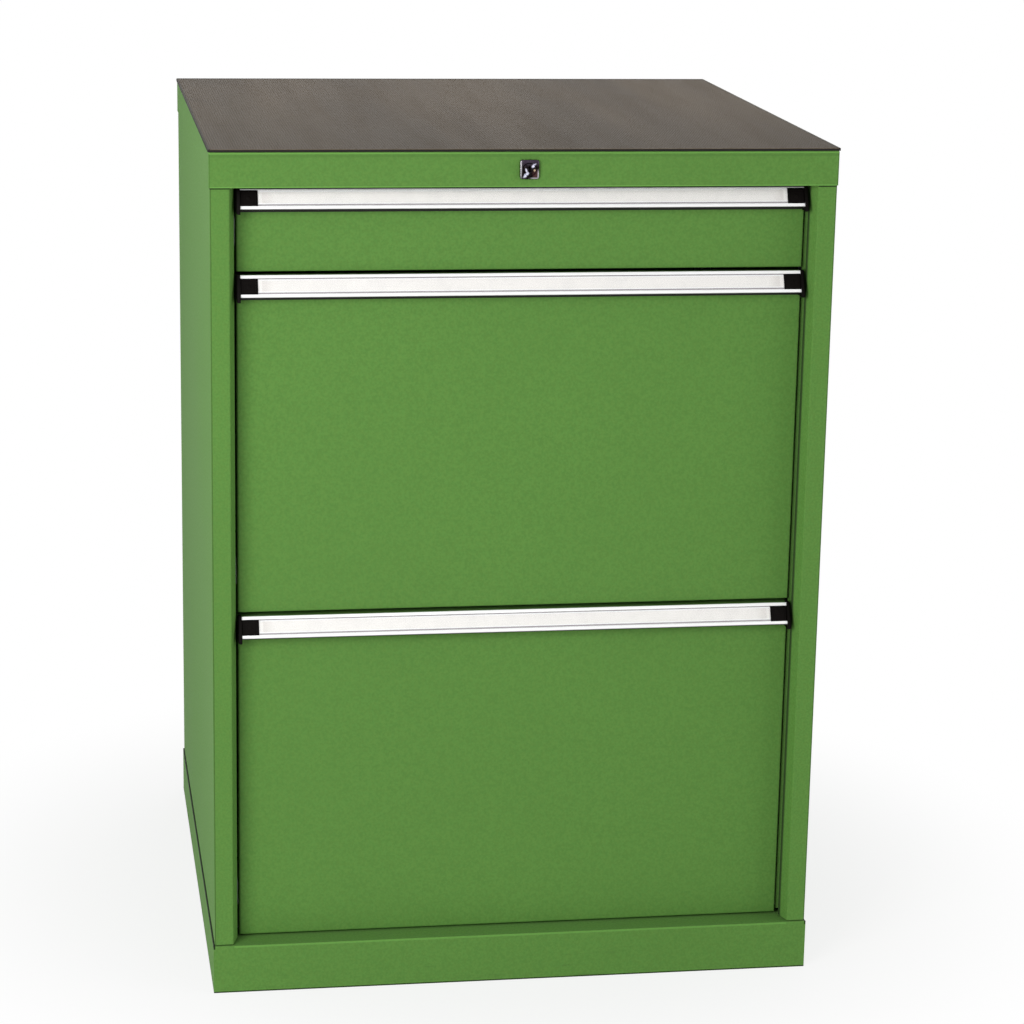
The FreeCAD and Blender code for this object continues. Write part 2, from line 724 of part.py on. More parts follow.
def channel(web_x, tip_x, half, gauge):
    """Section of a runner channel: a web at web_x and two flanges that reach to tip_x."""
    sign = 1 if value(tip_x) > value(web_x) else -1
    inner = f"{web_x} + {sign} * {gauge}"
    return [
        (web_x, f"-{half}"), (tip_x, f"-{half}"),
        (tip_x, f"-{half} + {gauge}"), (inner, f"-{half} + {gauge}"),
        (inner, f"{half} - {gauge}"), (tip_x, f"{half} - {gauge}"),
        (tip_x, half), (web_x, half),
    ]


def build_runners(name, base):
    """Telescopic runner of a drawer: drawer rail, middle rail and cabinet rail with its hooks."""
    level = f"{base} + runner_level"
    wall = "(tray_width / 2 + sheet)"
    start = back("runner_start")

    drawer_rail = new_body(f"{name}_right_drawer_rail", level)
    pad(drawer_rail, "y", channel(wall, f"{wall} + 10.5", "drawer_rail_half", "rail_gauge"),
        start, "runner_length")
    keep_pair(drawer_rail, f"{name}_drawer_rails")

    middle_rail = new_body(f"{name}_right_middle_rail", level)
    pad(middle_rail, "y", channel(f"{wall} + 14.1", f"{wall} + 3.5", "middle_rail_half", "rail_gauge"),
        start, "runner_length")
    keep_pair(middle_rail, f"{name}_middle_rails")

    cabinet_rail = new_body(f"{name}_right_cabinet_rail", level)
    web = f"{wall} + 19.1"
    pad(cabinet_rail, "y", channel(web, f"{wall} + 6", "cabinet_rail_half", "cabinet_rail_gauge"),
        start, "runner_length")
    upright_web = "(housing_width / 2 - sheet - 17)"
    for depth in ("runner_start + 12", "runner_start + runner_length - 42"):
        y_low = back(f"{depth} + 2")
        y_high = back(f"{depth} + upright_width - 2")
        bracket = [
            (web, y_low), (upright_web, y_low), (upright_web, y_high), (web, y_high),
            (web, f"{y_high} - sheet"), (f"{upright_web} - sheet", f"{y_high} - sheet"),
            (f"{upright_web} - sheet", f"{y_low} + sheet"), (web, f"{y_low} + sheet"),
        ]
        pad(cabinet_rail, "z", bracket, "-16", "32")
    keep_pair(cabinet_rail, f"{name}_cabinet_rails")


def build_tool_carriers(name, base, rows, row_span, columns, column_span, mouth):
    """Sheet carriers across a drawer, and the eight-sided taper sockets that sit in their holes."""
    level = f"{base} + tray_base + carrier_level"
    half = "(tray_width / 2)"
    centre = back("front_recess + sheet + tray_depth / 2")
    low = "-socket_depth"
    carriers = []
    sockets = []
    for row in range(rows):
        middle = f"({centre} + {(row - (rows - 1) / 2) * row_span})"
        side = "carrier_depth / 2"
        carrier = new_body(f"{name}_carrier_{row + 1}", level)
        profile = [
            (f"{middle} - {side}", "-carrier_fold"), (f"{middle} - {side}", "0"),
            (f"{middle} + {side}", "0"), (f"{middle} + {side}", "-carrier_fold"),
            (f"{middle} + {side} - sheet", "-carrier_fold"), (f"{middle} + {side} - sheet", "-sheet"),
            (f"{middle} - {side} + sheet", "-sheet"), (f"{middle} - {side} + sheet", "-carrier_fold"),
        ]
        pad(carrier, "x", profile, f"-{half} + 0.5", "tray_width - 1")
        first_x = f"({-(columns - 1) / 2 * column_span})"
        hole = pocket(carrier, "z", polygon(first_x, middle, f"{mouth} + socket_wall + 0.3", 8),
                      "-sheet", "sheet")
        repeat(carrier, [hole], "x", f"{(columns - 1) * column_span}", columns)
        carriers.append(carrier)
        cup = new_body(f"{name}_socket_{row + 1}", level)
        pad(cup, "z", polygon(first_x, middle, f"{mouth} + socket_collar", 8), "0", "4")
        pad(cup, "z", polygon(first_x, middle, f"{mouth} + socket_wall", 8), low, "socket_depth")
        pocket(cup, "z", polygon(first_x, middle, mouth, 8), low, "socket_depth + 4")
        lean(cup, "(4 - socket_depth) / 2", "4", "taper_angle")
        lean(cup, "-socket_depth / 2", "0", "-taper_angle")
        repeat(cup, [], "x", f"{(columns - 1) * column_span}", columns)
        sockets.append(cup)
    for part, links in (("tool_carriers", carriers), ("tool_sockets", sockets)):
        group = doc.addObject("Part::Compound", f"{name}_{part}")
        group.Links = links
        keep(group, f"{name}_{part}")


def build_drawer(name, base, height, wall):
    """All pieces of one drawer."""
    build_front(name, base, height)
    build_tray(name, base, wall)
    build_handle(name, base, height)
    build_end_caps(name, base, height)
    build_label(name, base, height)
    build_runners(name, base)


def check_and_write():
    """Stop on any failed object, then write each node's shape."""
    doc.recompute()
    for item in doc.Objects:
        if {"Invalid", "Error"} & set(item.State):
            raise RuntimeError(f"{item.Name} is {item.State}")
    for name, part in NODES.items():
        if part.Shape.isNull() or not part.Shape.isValid() or not part.Shape.Solids:
            raise RuntimeError(f"{name} has no valid solid")
    os.makedirs("parts", exist_ok=True)
    for name, part in NODES.items():
        part.Shape.exportStep(os.path.join("parts", name + ".step"))
    print(len(NODES), "nodes written")


build_side_walls()
build_rear_panel()
build_bottom_panel()
build_plinth()
build_cover()
build_mat()
build_uprights()
build_lock()
build_bar_guides()
build_drawer("drawer_1", "floor_level + 2 * tall_front", "low_front", "low_wall")
build_drawer("drawer_2", "floor_level + tall_front", "tall_front", "tall_wall")
build_drawer("drawer_3", "floor_level", "tall_front", "tall_wall")
build_tool_carriers("drawer_2", "floor_level + tall_front", 3, 190, 4, 145, 22.3)
build_tool_carriers("drawer_3", "floor_level", 2, 240, 3, 190, 35.0)
check_and_write()
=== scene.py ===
"""A floor-standing tool cabinet with three drawers: its looks, its light and its camera."""

import json
import logging
import math
from collections.abc import Callable, Iterator
from contextlib import contextmanager
from dataclasses import dataclass
from enum import Enum

import bpy
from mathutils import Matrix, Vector


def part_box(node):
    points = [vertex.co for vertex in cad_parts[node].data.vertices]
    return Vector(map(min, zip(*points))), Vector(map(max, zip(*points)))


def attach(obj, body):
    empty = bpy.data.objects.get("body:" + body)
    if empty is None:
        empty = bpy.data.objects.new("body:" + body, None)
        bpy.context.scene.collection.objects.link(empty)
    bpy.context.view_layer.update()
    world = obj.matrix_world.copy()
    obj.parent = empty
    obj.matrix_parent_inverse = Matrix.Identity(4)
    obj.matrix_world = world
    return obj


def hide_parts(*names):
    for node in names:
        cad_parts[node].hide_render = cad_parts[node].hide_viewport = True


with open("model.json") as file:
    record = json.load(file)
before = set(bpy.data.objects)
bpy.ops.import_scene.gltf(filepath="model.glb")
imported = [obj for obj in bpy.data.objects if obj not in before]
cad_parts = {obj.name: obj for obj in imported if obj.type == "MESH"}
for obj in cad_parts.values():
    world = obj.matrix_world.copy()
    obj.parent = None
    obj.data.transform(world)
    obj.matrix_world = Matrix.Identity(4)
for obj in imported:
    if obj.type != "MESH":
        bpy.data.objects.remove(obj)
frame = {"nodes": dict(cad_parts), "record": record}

log = logging.getLogger("tool_cabinet")

Colour = tuple[float, float, float]
Place = tuple[float, float, float]
Test = Callable[[Vector, Vector], bool]

# Sizes in metres, as the solids have them.
FACE_LEAN = math.radians(23.7)
FRONT_PLANE = -0.3625
DRAWER_TOPS = {1: 0.960, 2: 0.860, 3: 0.460}
RUNNER_LEVELS = {1: 0.902, 2: 0.502, 3: 0.102}
FRONT_STEP = 0.4
STRIP_STEP = 0.1
LOCK_CENTRE = (0.0, -0.3675, 0.980)

# When a face or an edge counts as facing a way, as level, or as lying at a place.
FACING = 0.9
FLAT = 0.99
LEVEL = 0.1
NEAR = 1e-5

WHITE = (1.0, 1.0, 1.0, 1.0)
SEEN_AS_WHITE = ("Is Glossy Ray", "Is Transmission Ray")


def tint(code: str) -> Colour:
    """The linear colour of a six-digit screen colour.

    Args:
        code: Red, green and blue as two hexadecimal digits each.

    Returns:
        The three linear components.
    """
    parts = [int(code[i : i + 2], 16) / 255 for i in (0, 2, 4)]
    return tuple(c / 12.92 if c <= 0.04045 else ((c + 0.055) / 1.055) ** 2.4 for c in parts)


def shade(colour: Colour, factor: float) -> Colour:
    """The colour, lighter or darker by a factor."""
    return tuple(min(1.0, c * factor) for c in colour)


class Axis(Enum):
    """The three axes of the shared frame."""

    X = 0
    Y = 1
    Z = 2


class Wire:
    """A node's output, which Python's operators carry on into Math nodes."""

    def __init__(self, graph: "Graph", socket: bpy.types.NodeSocket) -> None:
        """Keep the output and the graph that it belongs to."""
        self.graph = graph
        self.socket = socket

    def _math(self, operation: str, *values: "Wire | float") -> "Wire":
        """A Math node with this operation on these values."""
        return self.graph.node("ShaderNodeMath", {"operation": operation}, dict(enumerate(values)))

    def __add__(self, other: "Wire | float") -> "Wire":
        """The sum."""
        return self._math("ADD", self, other)

    def __sub__(self, other: "Wire | float") -> "Wire":
        """The difference."""
        return self._math("SUBTRACT", self, other)

    def __rsub__(self, other: float) -> "Wire":
        """A number less this."""
        return self._math("SUBTRACT", other, self)

    def __mul__(self, other: "Wire | float") -> "Wire":
        """The product."""
        return self._math("MULTIPLY", self, other)

    def __truediv__(self, other: "Wire | float") -> "Wire":
        """The quotient."""
        return self._math("DIVIDE", self, other)

    def __pow__(self, other: float) -> "Wire":
        """A power."""
        return self._math("POWER", self, other)

    __radd__ = __add__
    __rmul__ = __mul__

    def size(self) -> "Wire":
        """The value without its sign."""
        return self._math("ABSOLUTE", self)

    def most(self, other: "Wire | float") -> "Wire":
        """The larger of the two."""
        return self._math("MAXIMUM", self, other)

    def repeat(self, length: float) -> "Wire":
        """The distance to the nearest multiple of a length."""
        return self._math("PINGPONG", self, length / 2)

    def fade(self, low: float, high: float) -> "Wire":
        """A smooth step from 0 at low to 1 at high."""
        settings = {"interpolation_type": "SMOOTHSTEP"}
        ends = {"Value": self, "From Min": low, "From Max": high}
        return self.graph.node("ShaderNodeMapRange", settings, ends)

    def spread(self, low: float, high: float) -> "Wire":
        """A value from 0 to 1 laid out between low and high."""
        return self * (high - low) + low


class Graph:
    """The node tree of one material, ending in its Principled shader."""

    def __init__(self, name: str) -> None:
        """Start a material of this name."""
        self.material = bpy.data.materials.new(name)
        self.material.use_nodes = True
        self.tree = self.material.node_tree
        self.shader = self.tree.nodes["Principled BSDF"]
        self.place = self.node("ShaderNodeTexCoord", output="Object")

    def node(
        self,
        kind: str,
        settings: dict[str, object] | None = None,
        inputs: dict[int | str, object] | None = None,
        output: int | str = 0,
    ) -> Wire:
        """Add a node.

        Args:
            kind: The node's type.
            settings: Its settings, such as an operation or a ramp's stops.
            inputs: Values or wires for its sockets.
            output: Which output the wire starts from.

        Returns:
            The wire from that output.
        """
        made = self.tree.nodes.new(kind)
        for key, setting in (settings or {}).items():
            setattr(made, key, setting)
        for key, given in (inputs or {}).items():
            if isinstance(given, Wire):
                self.tree.links.new(given.socket, made.inputs[key])
            else:
                made.inputs[key].default_value = given
        return Wire(self, made.outputs[output])

    def along(self, axis: Axis) -> Wire:
        """The coordinate along one axis, in metres."""
        return self.node("ShaderNodeSeparateXYZ", None, {0: self.place}, axis.value)

    def stretched(self, scale: Place, shift: Place = (0, 0, 0)) -> Wire:
        """The place, scaled and moved."""
        inputs = {"Vector": self.place, "Scale": scale, "Location": shift}
        return self.node("ShaderNodeMapping", None, inputs)

    def noise(self, scale: float | Place, detail: float = 2.0, seed: float = 0.0) -> Wire:
        """Soft noise with so many waves per metre, from 0 to 1.

        Args:
            scale: Waves per metre, or one number for each axis.
            detail: How many finer octaves it has.
            seed: Moves the noise to another part of its pattern.

        Returns:
            The noise as a wire.
        """
        scales = scale if isinstance(scale, tuple) else (scale,) * 3
        place = self.stretched(scales, (seed, seed * 0.7, -seed))
        inputs = {"Vector": place, "Scale": 1.0, "Detail": detail}
        return self.node("ShaderNodeTexNoise", None, inputs)

    def cells(self, scale: float | Place, seed: float = 0.0, output: str = "Distance") -> Wire:
        """Cell noise with so many cells per metre."""
        scales = scale if isinstance(scale, tuple) else (scale,) * 3
        place = self.stretched(scales, (seed, seed, seed))
        return self.node("ShaderNodeTexVoronoi", None, {"Vector": place, "Scale": 1.0}, output)

    def specks(self, scale: float, share: float, seed: float = 0.0) -> Wire:
        """Small round dots in a share of the cells.

        Args:
            scale: Cells per metre.
            share: About how many of the cells have a dot, from 0 to 1.
            seed: Another set of cells.

        Returns:
            1 inside a dot and 0 outside.
        """
        chosen = self.node(
            "ShaderNodeSeparateColor", None, {0: self.cells(scale, seed, "Color")}, 0
        ).fade(1 - share, 1 - share * 0.8)
        return chosen * (1 - self.cells(scale, seed).fade(0.016, 0.034))

    def blend(self, factor: Wire, first: Colour | Wire, second: Colour | Wire) -> Wire:
        """One colour where the factor is 0 and the other where it is 1."""
        ends = [c if isinstance(c, Wire) else (*c, 1.0) for c in (first, second)]
        inputs = {0: factor, 6: ends[0], 7: ends[1]}
        return self.node("ShaderNodeMix", {"data_type": "RGBA"}, inputs, 2)

    def band(self, axis: Axis, low: float, high: float, soft: float = 0.0003) -> Wire:
        """1 between two places along an axis, fading over a soft margin outside."""
        middle, half = (low + high) / 2, (high - low) / 2
        return 1 - (self.along(axis) - middle).size().fade(half, half + soft)

    def spot(self, middle: tuple[float, float], half: tuple[float, float], turn: float) -> Wire:
        """A soft oval seen from the front.

        Args:
            middle: Its centre, across and up, in metres.
            half: Its half length and half width.
            turn: How far its length is turned from level, in degrees.

        Returns:
            1 at its middle and 0 outside.
        """
        across, up = self.along(Axis.X) - middle[0], self.along(Axis.Z) - middle[1]
        cosine, sine = math.cos(math.radians(turn)), math.sin(math.radians(turn))
        length = (across * cosine + up * sine) / half[0]
        width = (up * cosine - across * sine) / half[1]
        return 1 - ((length * length + width * width) ** 0.5).fade(0.45, 1.25)

    def relief(self, height: Wire, depth: float, strength: float = 1.0) -> Wire:
        """A normal for a surface whose height varies by so many metres."""
        inputs = {"Height": height, "Distance": depth, "Strength": strength}
        return self.node("ShaderNodeBump", None, inputs, "Normal")

    def facing(self, axis: Axis) -> Wire:
        """How far the surface faces along an axis, from -1 to 1."""
        normal = self.node("ShaderNodeNewGeometry", output="Normal")
        return self.node("ShaderNodeSeparateXYZ", None, {0: normal}, axis.value)

    def finish(self, **sockets: Wire | float | Colour) -> bpy.types.Material:
        """Set the shader's sockets, whose names are given with underscores.

        Args:
            **sockets: Values or wires by socket name, such as Base_Color.

        Returns:
            The finished material.
        """
        for key, given in sockets.items():
            socket = self.shader.inputs[key.replace("_", " ")]
            if isinstance(given, Wire):
                self.tree.links.new(given.socket, socket)
            else:
                socket.default_value = (*given, 1.0) if isinstance(given, tuple) else given
        return self.material


@dataclass(frozen=True)
class PowderCoat:
    """Stoved powder paint with orange peel, speckle, dust and nicks.

    The scuffed one, for the housing, also has marks near the floor, dark joints and corner lines,
    and painted highlights and painted shade at its folds, its foot and the right post's inner
    return.
    The others have a painted highlight line at the height of the fronts' lower edges.
    """

    name: str
    colour: Colour
    roughness: float = 0.42
    scuffed: bool = False

    def material(self) -> bpy.types.Material:
        """The paint as a material."""
        graph = Graph(self.name)
        peel = graph.noise(330, 2.0)
        grain = graph.noise(1500, 1.0, 3.1)
        drift = graph.noise(2.6, 3.0, 7.7).fade(0.3, 0.7)
        speckle = graph.noise(390, 3.0, 1.9).fade(0.34, 0.66)
        warm = graph.noise(260, 2.0, 6.3).fade(0.35, 0.65)
        colour = graph.blend(drift, shade(self.colour, 0.965), shade(self.colour, 1.03))
        colour = graph.blend(speckle * 0.62, colour, shade(self.colour, 0.8))
        colour = graph.blend(warm * 0.1, colour, tint("748a3f"))
        dust = graph.facing(Axis.Z).fade(0.6, 0.95) * graph.noise(55, 3.0, 5.0).spread(0.02, 0.14)
        colour = graph.blend(dust, colour, tint("6f7a66"))
        nick = graph.specks(34, 0.03, 4.2)
        colour = graph.blend(nick * 0.6, colour, shade(self.colour, 0.25))
        rough = speckle.spread(-0.04, 0.04) + drift.spread(-0.02, 0.02) + self.roughness
        if self.scuffed:
            height = graph.along(Axis.Z)
            streaks = graph.noise((9, 9, 210), 3.0, 2.4).fade(0.56, 0.68)
            scuff = streaks * (1 - height.fade(0.006, 0.05)) * graph.noise(13, 2.0).fade(0.45, 0.6)
            colour = graph.blend(scuff * 0.35, colour, tint("39402f"))
            rough = rough + scuff * 0.2
            colour = self._folds(graph, colour)
        else:
            # Painted highlight: a lighter line at the height of the fronts' lower edges, where the
            # folded edge catches light.
            foot = (graph.along(Axis.Z) - 0.0616).repeat(FRONT_STEP)
            edge_highlight = 1 - foot.fade(0.0007, 0.0013)
            colour = graph.blend(edge_highlight * 0.55, colour, shade(self.colour, 1.45))
        rough = rough + dust * 0.5
        normal = graph.relief(peel * 0.75 + grain * 0.25 - nick * 0.6, 0.00014, 0.4)
        return graph.finish(
            Base_Color=colour, Roughness=rough, Normal=normal, Specular_IOR_Level=0.12
        )

    def _folds(self, graph: Graph, colour: Wire) -> Wire:
        """The paint's colour where the sheets fold and meet.

        Args:
            graph: The paint's graph.
            colour: The colour so far.

        Returns:
            The colour, with painted highlights on the folds, painted shade below the cover's top
            fold, on the right post's inner return and along the foot, and darker in the joints and
            along the corners.
        """
        aside = graph.along(Axis.X).size()
        walls = graph.band(Axis.Z, 0.0592, 0.9594)
        inside = 1 - aside.fade(0.3350, 0.3362)
        # Painted highlights: lighter lines along the cover's top fold, the cover's lower edge and
        # the plinth's front fold, where the bends catch light.
        light = graph.band(Axis.Z, 0.9978, 1.0001) * 0.8
        light = light.most(graph.band(Axis.Z, 0.9602, 0.9612) * 0.6)
        ahead = 1 - aside.fade(0.3588, 0.3596)
        light = light.most(graph.band(Axis.Z, 0.0566, 0.0584) * inside * 0.5) * ahead
        # Painted shade: a darker band just below the cover's top fold and its painted highlight.
        dull = graph.band(Axis.Z, 0.9942, 0.9966) * 0.45 * ahead
        corner = aside.fade(0.3566, 0.3573) * (1 - aside.fade(0.3581, 0.3584)) * walls
        bend = aside.fade(0.3577, 0.3583) * (1 - aside.fade(0.3590, 0.3594))
        corner = corner.most(bend * graph.band(Axis.Z, 0.9602, 0.9972) * 0.7)
        joint = graph.band(Axis.Z, 0.0556, 0.0602, 0.0008) * aside.fade(0.3579, 0.3584)
        # Painted shadow: a dark line along the foot, where the housing meets the floor.
        foot = graph.band(Axis.Z, -0.001, 0.0012, 0.0008)
        seam = graph.band(Axis.Z, 0.9584, 0.9599) * aside.fade(0.3362, 0.3366)
        # Painted shade: the right post's inner return darker towards its inner edge, where the gap
        # beside the drawers lies in shadow.
        depth = graph.along(Axis.Y)
        right = graph.band(Axis.X, 0.3295, 0.3375)
        return_shade = depth.fade(-0.3482, -0.3442) * (1 - depth.fade(-0.3404, -0.3400)) * right * walls
        colour = graph.blend(return_shade * 0.85, colour, tint("20281b"))
        colour = graph.blend(light, colour, shade(self.colour, 1.5))
        colour = graph.blend(dull, colour, shade(self.colour, 0.72))
        colour = graph.blend(corner * 0.6, colour, shade(self.colour, 0.3))
        # Dark joints and seam, and the painted shadow along the foot.
        dark = (joint * 0.95).most(foot * 0.85).most(seam * 0.8)
        return graph.blend(dark, colour, tint("11180b"))


@dataclass(frozen=True)
class ZincPlate:
    """Galvanised sheet with its crystals, handling marks and faint rolling lines."""

    name: str
    colour: Colour

    def material(self) -> bpy.types.Material:
        """The zinc as a material."""
        graph = Graph(self.name)
        crystal = graph.node(
            "ShaderNodeSeparateColor", None, {0: graph.cells(72, 1.3, "Color")}, 1
        )
        edge = graph.cells(72, 1.3).fade(0.5, 0.8)
        lines = graph.noise((900, 14, 14), 2.0)
        marks = graph.noise((16, 60, 240), 4.0, 6.0).fade(0.6, 0.72)
        colour = graph.blend(crystal, shade(self.colour, 0.8), shade(self.colour, 1.12))
        colour = graph.blend(edge * 0.2 + marks * 0.3, colour, shade(self.colour, 0.66))
        rough = crystal.spread(0.3, 0.46) + lines * 0.06 + marks * 0.1
        normal = graph.relief(crystal * 0.4 + lines * 0.6, 0.00005, 0.5)
        return graph.finish(Base_Color=colour, Roughness=rough, Metallic=0.9, Normal=normal)


@dataclass(frozen=True)
class DrawnSteel:
    """Bright steel with lines along the way that it was drawn or slides, and a film of grease."""

    name: str
    colour: Colour
    lines: Place

    def material(self) -> bpy.types.Material:
        """The steel as a material."""
        graph = Graph(self.name)
        lines = graph.noise(self.lines, 3.0)
        broad = graph.noise(tuple(max(v * 0.12, 2.0) for v in self.lines), 2.0, 4.0)
        film = graph.noise(31, 4.0, 9.0).fade(0.5, 0.66)
        colour = graph.blend(lines, shade(self.colour, 0.84), shade(self.colour, 1.1))
        colour = graph.blend(film * 0.35, colour, shade(self.colour, 0.6))
        rough = lines.spread(0.2, 0.36) + broad * 0.08 - film * 0.05
        normal = graph.relief(lines, 0.00003, 0.5)
        return graph.finish(Base_Color=colour, Roughness=rough, Metallic=1.0, Normal=normal)


@dataclass(frozen=True)
class AnodisedStrip:
    """Pale anodised aluminium with fine die lines, and painted shade on its lower lip, underside
    and bottom.
    """

    name: str
    colour: Colour

    def material(self) -> bpy.types.Material:
        """The aluminium as a material."""
        graph = Graph(self.name)
        fine = graph.noise((2.5, 2600, 2600), 2.0)
        broad = graph.noise((1.4, 420, 420), 2.0, 2.0)
        haze = graph.noise(24, 3.0, 8.0).fade(0.35, 0.7)
        handled = graph.noise((12, 30, 30), 3.0, 5.5).fade(0.55, 0.7)
        lines = fine * 0.6 + broad * 0.4
        colour = graph.blend(lines, shade(self.colour, 0.93), shade(self.colour, 1.06))
        colour = graph.blend(handled * 0.08, colour, shade(self.colour, 0.8))
        height = graph.along(Axis.Z)
        # Painted shade: the lower lip darker than the upper one, as less light falls on it.
        lip = 1 - (height - 0.0335).repeat(STRIP_STEP).fade(0.0014, 0.0022)
        colour = graph.blend(lip * 0.8, colour, shade(self.colour, 0.66))
        # Painted shade, near black: faces turned down, a band along the strip's bottom edge, and
        # drawer 1's top under the cover's skirt; there it is also rougher and not metallic.
        below = 1 - graph.facing(Axis.Z).fade(-0.62, -0.3)
        hollow = 1 - (height - 0.029).repeat(STRIP_STEP).fade(0.0024, 0.0031)
        tucked = height.fade(0.9557, 0.9562)
        below = below.most(hollow).most(tucked)
        colour = graph.blend(below, colour, tint("12140a"))
        rough = fine.spread(0.36, 0.46) + haze * 0.05 + handled * 0.06 + below * 0.2
        normal = graph.relief(fine * 0.5 + broad * 0.5, 0.00004, 0.55)
        # Metallic only where the painted shade is not.
        unshaded_metal = (1 - below) * 0.35
        return graph.finish(
            Base_Color=colour,
            Roughness=rough,
            Metallic=unshaded_metal,
            Normal=normal,
            Specular_IOR_Level=0.3,
        )


@dataclass(frozen=True)
class MouldedPlastic:
    """Spark-grained plastic, a little polished where hands rub it."""

    name: str
    colour: Colour
    grain: float = 1400.0
    roughness: float = 0.6

    def material(self) -> bpy.types.Material:
        """The plastic as a material."""
        graph = Graph(self.name)
        grain = graph.cells(self.grain, 2.0)
        flow = graph.noise(90, 3.0, 1.0).fade(0.3, 0.7)
        rubbed = graph.noise(45, 2.0, 6.0).fade(0.5, 0.7)
        colour = graph.blend(flow, shade(self.colour, 0.85), shade(self.colour, 1.2))
        dust = graph.facing(Axis.Z).fade(0.5, 0.95) * graph.noise(400, 2.0).fade(0.5, 0.75)
        colour = graph.blend(dust * 0.03, colour, tint("77706a"))
        rough = grain.spread(-0.04, 0.05) - rubbed * 0.06 + self.roughness
        normal = graph.relief(grain, 0.00006, 0.55)
        return graph.finish(
            Base_Color=colour, Roughness=rough, Normal=normal, Specular_IOR_Level=0.06
        )


@dataclass(frozen=True)
class LabelCard:
    """Blank white card with fibres, greyer ends, and a painted shadow line in a painted highlight
    line at both edges.
    """

    name: str
    colour: Colour
    edge_lines: tuple[float, ...] = (0.0391, 0.0546)

    def material(self) -> bpy.types.Material:
        """The card as a material."""
        graph = Graph(self.name)
        fibre = graph.noise((340, 1500, 1500), 4.0)
        cloud = graph.noise(16, 3.0, 2.0).fade(0.3, 0.7)
        aside = graph.along(Axis.X).size()
        # Greyer just inside both ends.
        ends = aside.fade(0.283, 0.2985) * (1 - aside.fade(0.2990, 0.2998))
        colour = graph.blend(cloud * 0.7 + fibre * 0.3, shade(self.colour, 0.98), self.colour)
        colour = graph.blend(ends * 0.22, colour, tint("b9ada6"))
        shown = 1 - graph.along(Axis.Z).fade(0.9535, 0.9540)
        # Painted light along both edges: a painted highlight line, and inside it a patchy painted
        # shadow line where the lips shade the card; drawer 1's top shadow line is left out.
        for line in self.edge_lines:
            distance = (graph.along(Axis.Z) - line).repeat(STRIP_STEP)
            line_patchiness = graph.noise((60, 400, 400), 2.0, line * 100).spread(0.7, 0.95)
            bright = 1 - distance.fade(0.0016, 0.0022)
            colour = graph.blend(bright, colour, tint("ffffff"))
            dull = (1 - distance.fade(0.0005, 0.0010)) * line_patchiness * shown
            colour = graph.blend(dull, colour, tint("7c7076"))
        rough = fibre.spread(0.66, 0.78)
        normal = graph.relief(fibre, 0.00002, 0.25)
        return graph.finish(Base_Color=colour, Roughness=rough, Normal=normal)


@dataclass(frozen=True)
class ClearCover:
    """Clear strip over a label, with hairline scratches along it."""

    name: str
    colour: Colour

    def material(self) -> bpy.types.Material:
        """The clear strip as a material."""
        graph = Graph(self.name)
        hairs = graph.noise((14, 2400, 2400), 3.0).fade(0.6, 0.7)
        haze = graph.noise(40, 2.0, 3.0).fade(0.4, 0.7)
        colour = graph.blend(hairs * 0.5, self.colour, shade(self.colour, 0.9))
        rough = hairs * 0.25 + haze * 0.05 + 0.06
        alpha = hairs * 0.05 + haze * 0.02 + 0.06
        normal = graph.relief(graph.noise(60, 1.0, 4.0), 0.00008, 0.4)
        return graph.finish(Base_Color=colour, Roughness=rough, Alpha=alpha, Normal=normal)


@dataclass(frozen=True)
class RibbedRubber:
    """Grey-brown rubber with streaks, stains and grit, with painted shade towards the front and
    along a crease.
    """

    name: str
    colour: Colour
    half_width: float = 0.3605
    half_depth: float = 0.3645

    def material(self) -> bpy.types.Material:
        """The rubber as a material."""
        graph = Graph(self.name)
        cloud = graph.noise(5.5, 4.0).fade(0.3, 0.7)
        fine_streaks = graph.noise((34, 2.6, 34), 4.0, 3.0).fade(0.4, 0.7)
        grit = graph.noise(620, 2.0, 5.0)
        stain = graph.noise((9, 14, 9), 5.0, 8.4).fade(0.6, 0.78)
        streak = graph.noise((12, 0.9, 12), 2.0, 1.7).fade(0.32, 0.68)
        colour = graph.blend(cloud, shade(self.colour, 0.92), shade(self.colour, 1.12))
        # Lighter streaks running from front to back, wide and fine.
        colour = graph.blend(streak, colour, shade(self.colour, 1.5))
        colour = graph.blend(fine_streaks * 0.34, colour, shade(self.colour, 1.34))
        colour = graph.blend(stain * 0.35, colour, shade(self.colour, 0.6))
        colour = graph.blend(grit.fade(0.5, 0.8) * 0.12, colour, shade(self.colour, 0.62))
        depth = graph.along(Axis.Y)
        # Painted shade: the mat darker towards the front than at the back.
        colour = graph.blend((1 - depth.fade(-0.36, 0.2)) * 0.55, colour, shade(self.colour, 0.55))
        # Painted shade on the left, right and rear rims, and a painted highlight along the front
        # rim.
        across = graph.along(Axis.X).size() - self.half_width
        rear = (depth - self.half_depth).fade(-0.0090, -0.0060)
        behind = across.fade(-0.0032, -0.0018).most(rear)
        ahead = (1 - (depth + self.half_depth).fade(0.0028, 0.0040)) * (1 - behind)
        colour = graph.blend(behind * 0.8, colour, shade(self.colour, 0.15))
        colour = graph.blend(ahead * 0.8, colour, shade(self.colour, 1.6))
        # Painted shade of a crease across the mat.
        crease = 1 - (depth + 0.145).size().fade(0.001, 0.003)
        crease = crease * (1 - graph.along(Axis.X).fade(-0.3, -0.08)) * fine_streaks.spread(0.4, 1.0)
        colour = graph.blend(crease * 0.45, colour, shade(self.colour, 0.3))
        # Painted shade: the mat's side faces, below its top, near black.
        edge = 1 - graph.along(Axis.Z).fade(1.0022, 1.0028)
        colour = graph.blend(edge, colour, tint("100e07"))
        rough = grit.spread(0.62, 0.78) + fine_streaks * 0.04
        normal = graph.relief(grit, 0.00006, 0.4)
        return graph.finish(
            Base_Color=colour, Roughness=rough, Normal=normal, Specular_IOR_Level=0.25
        )


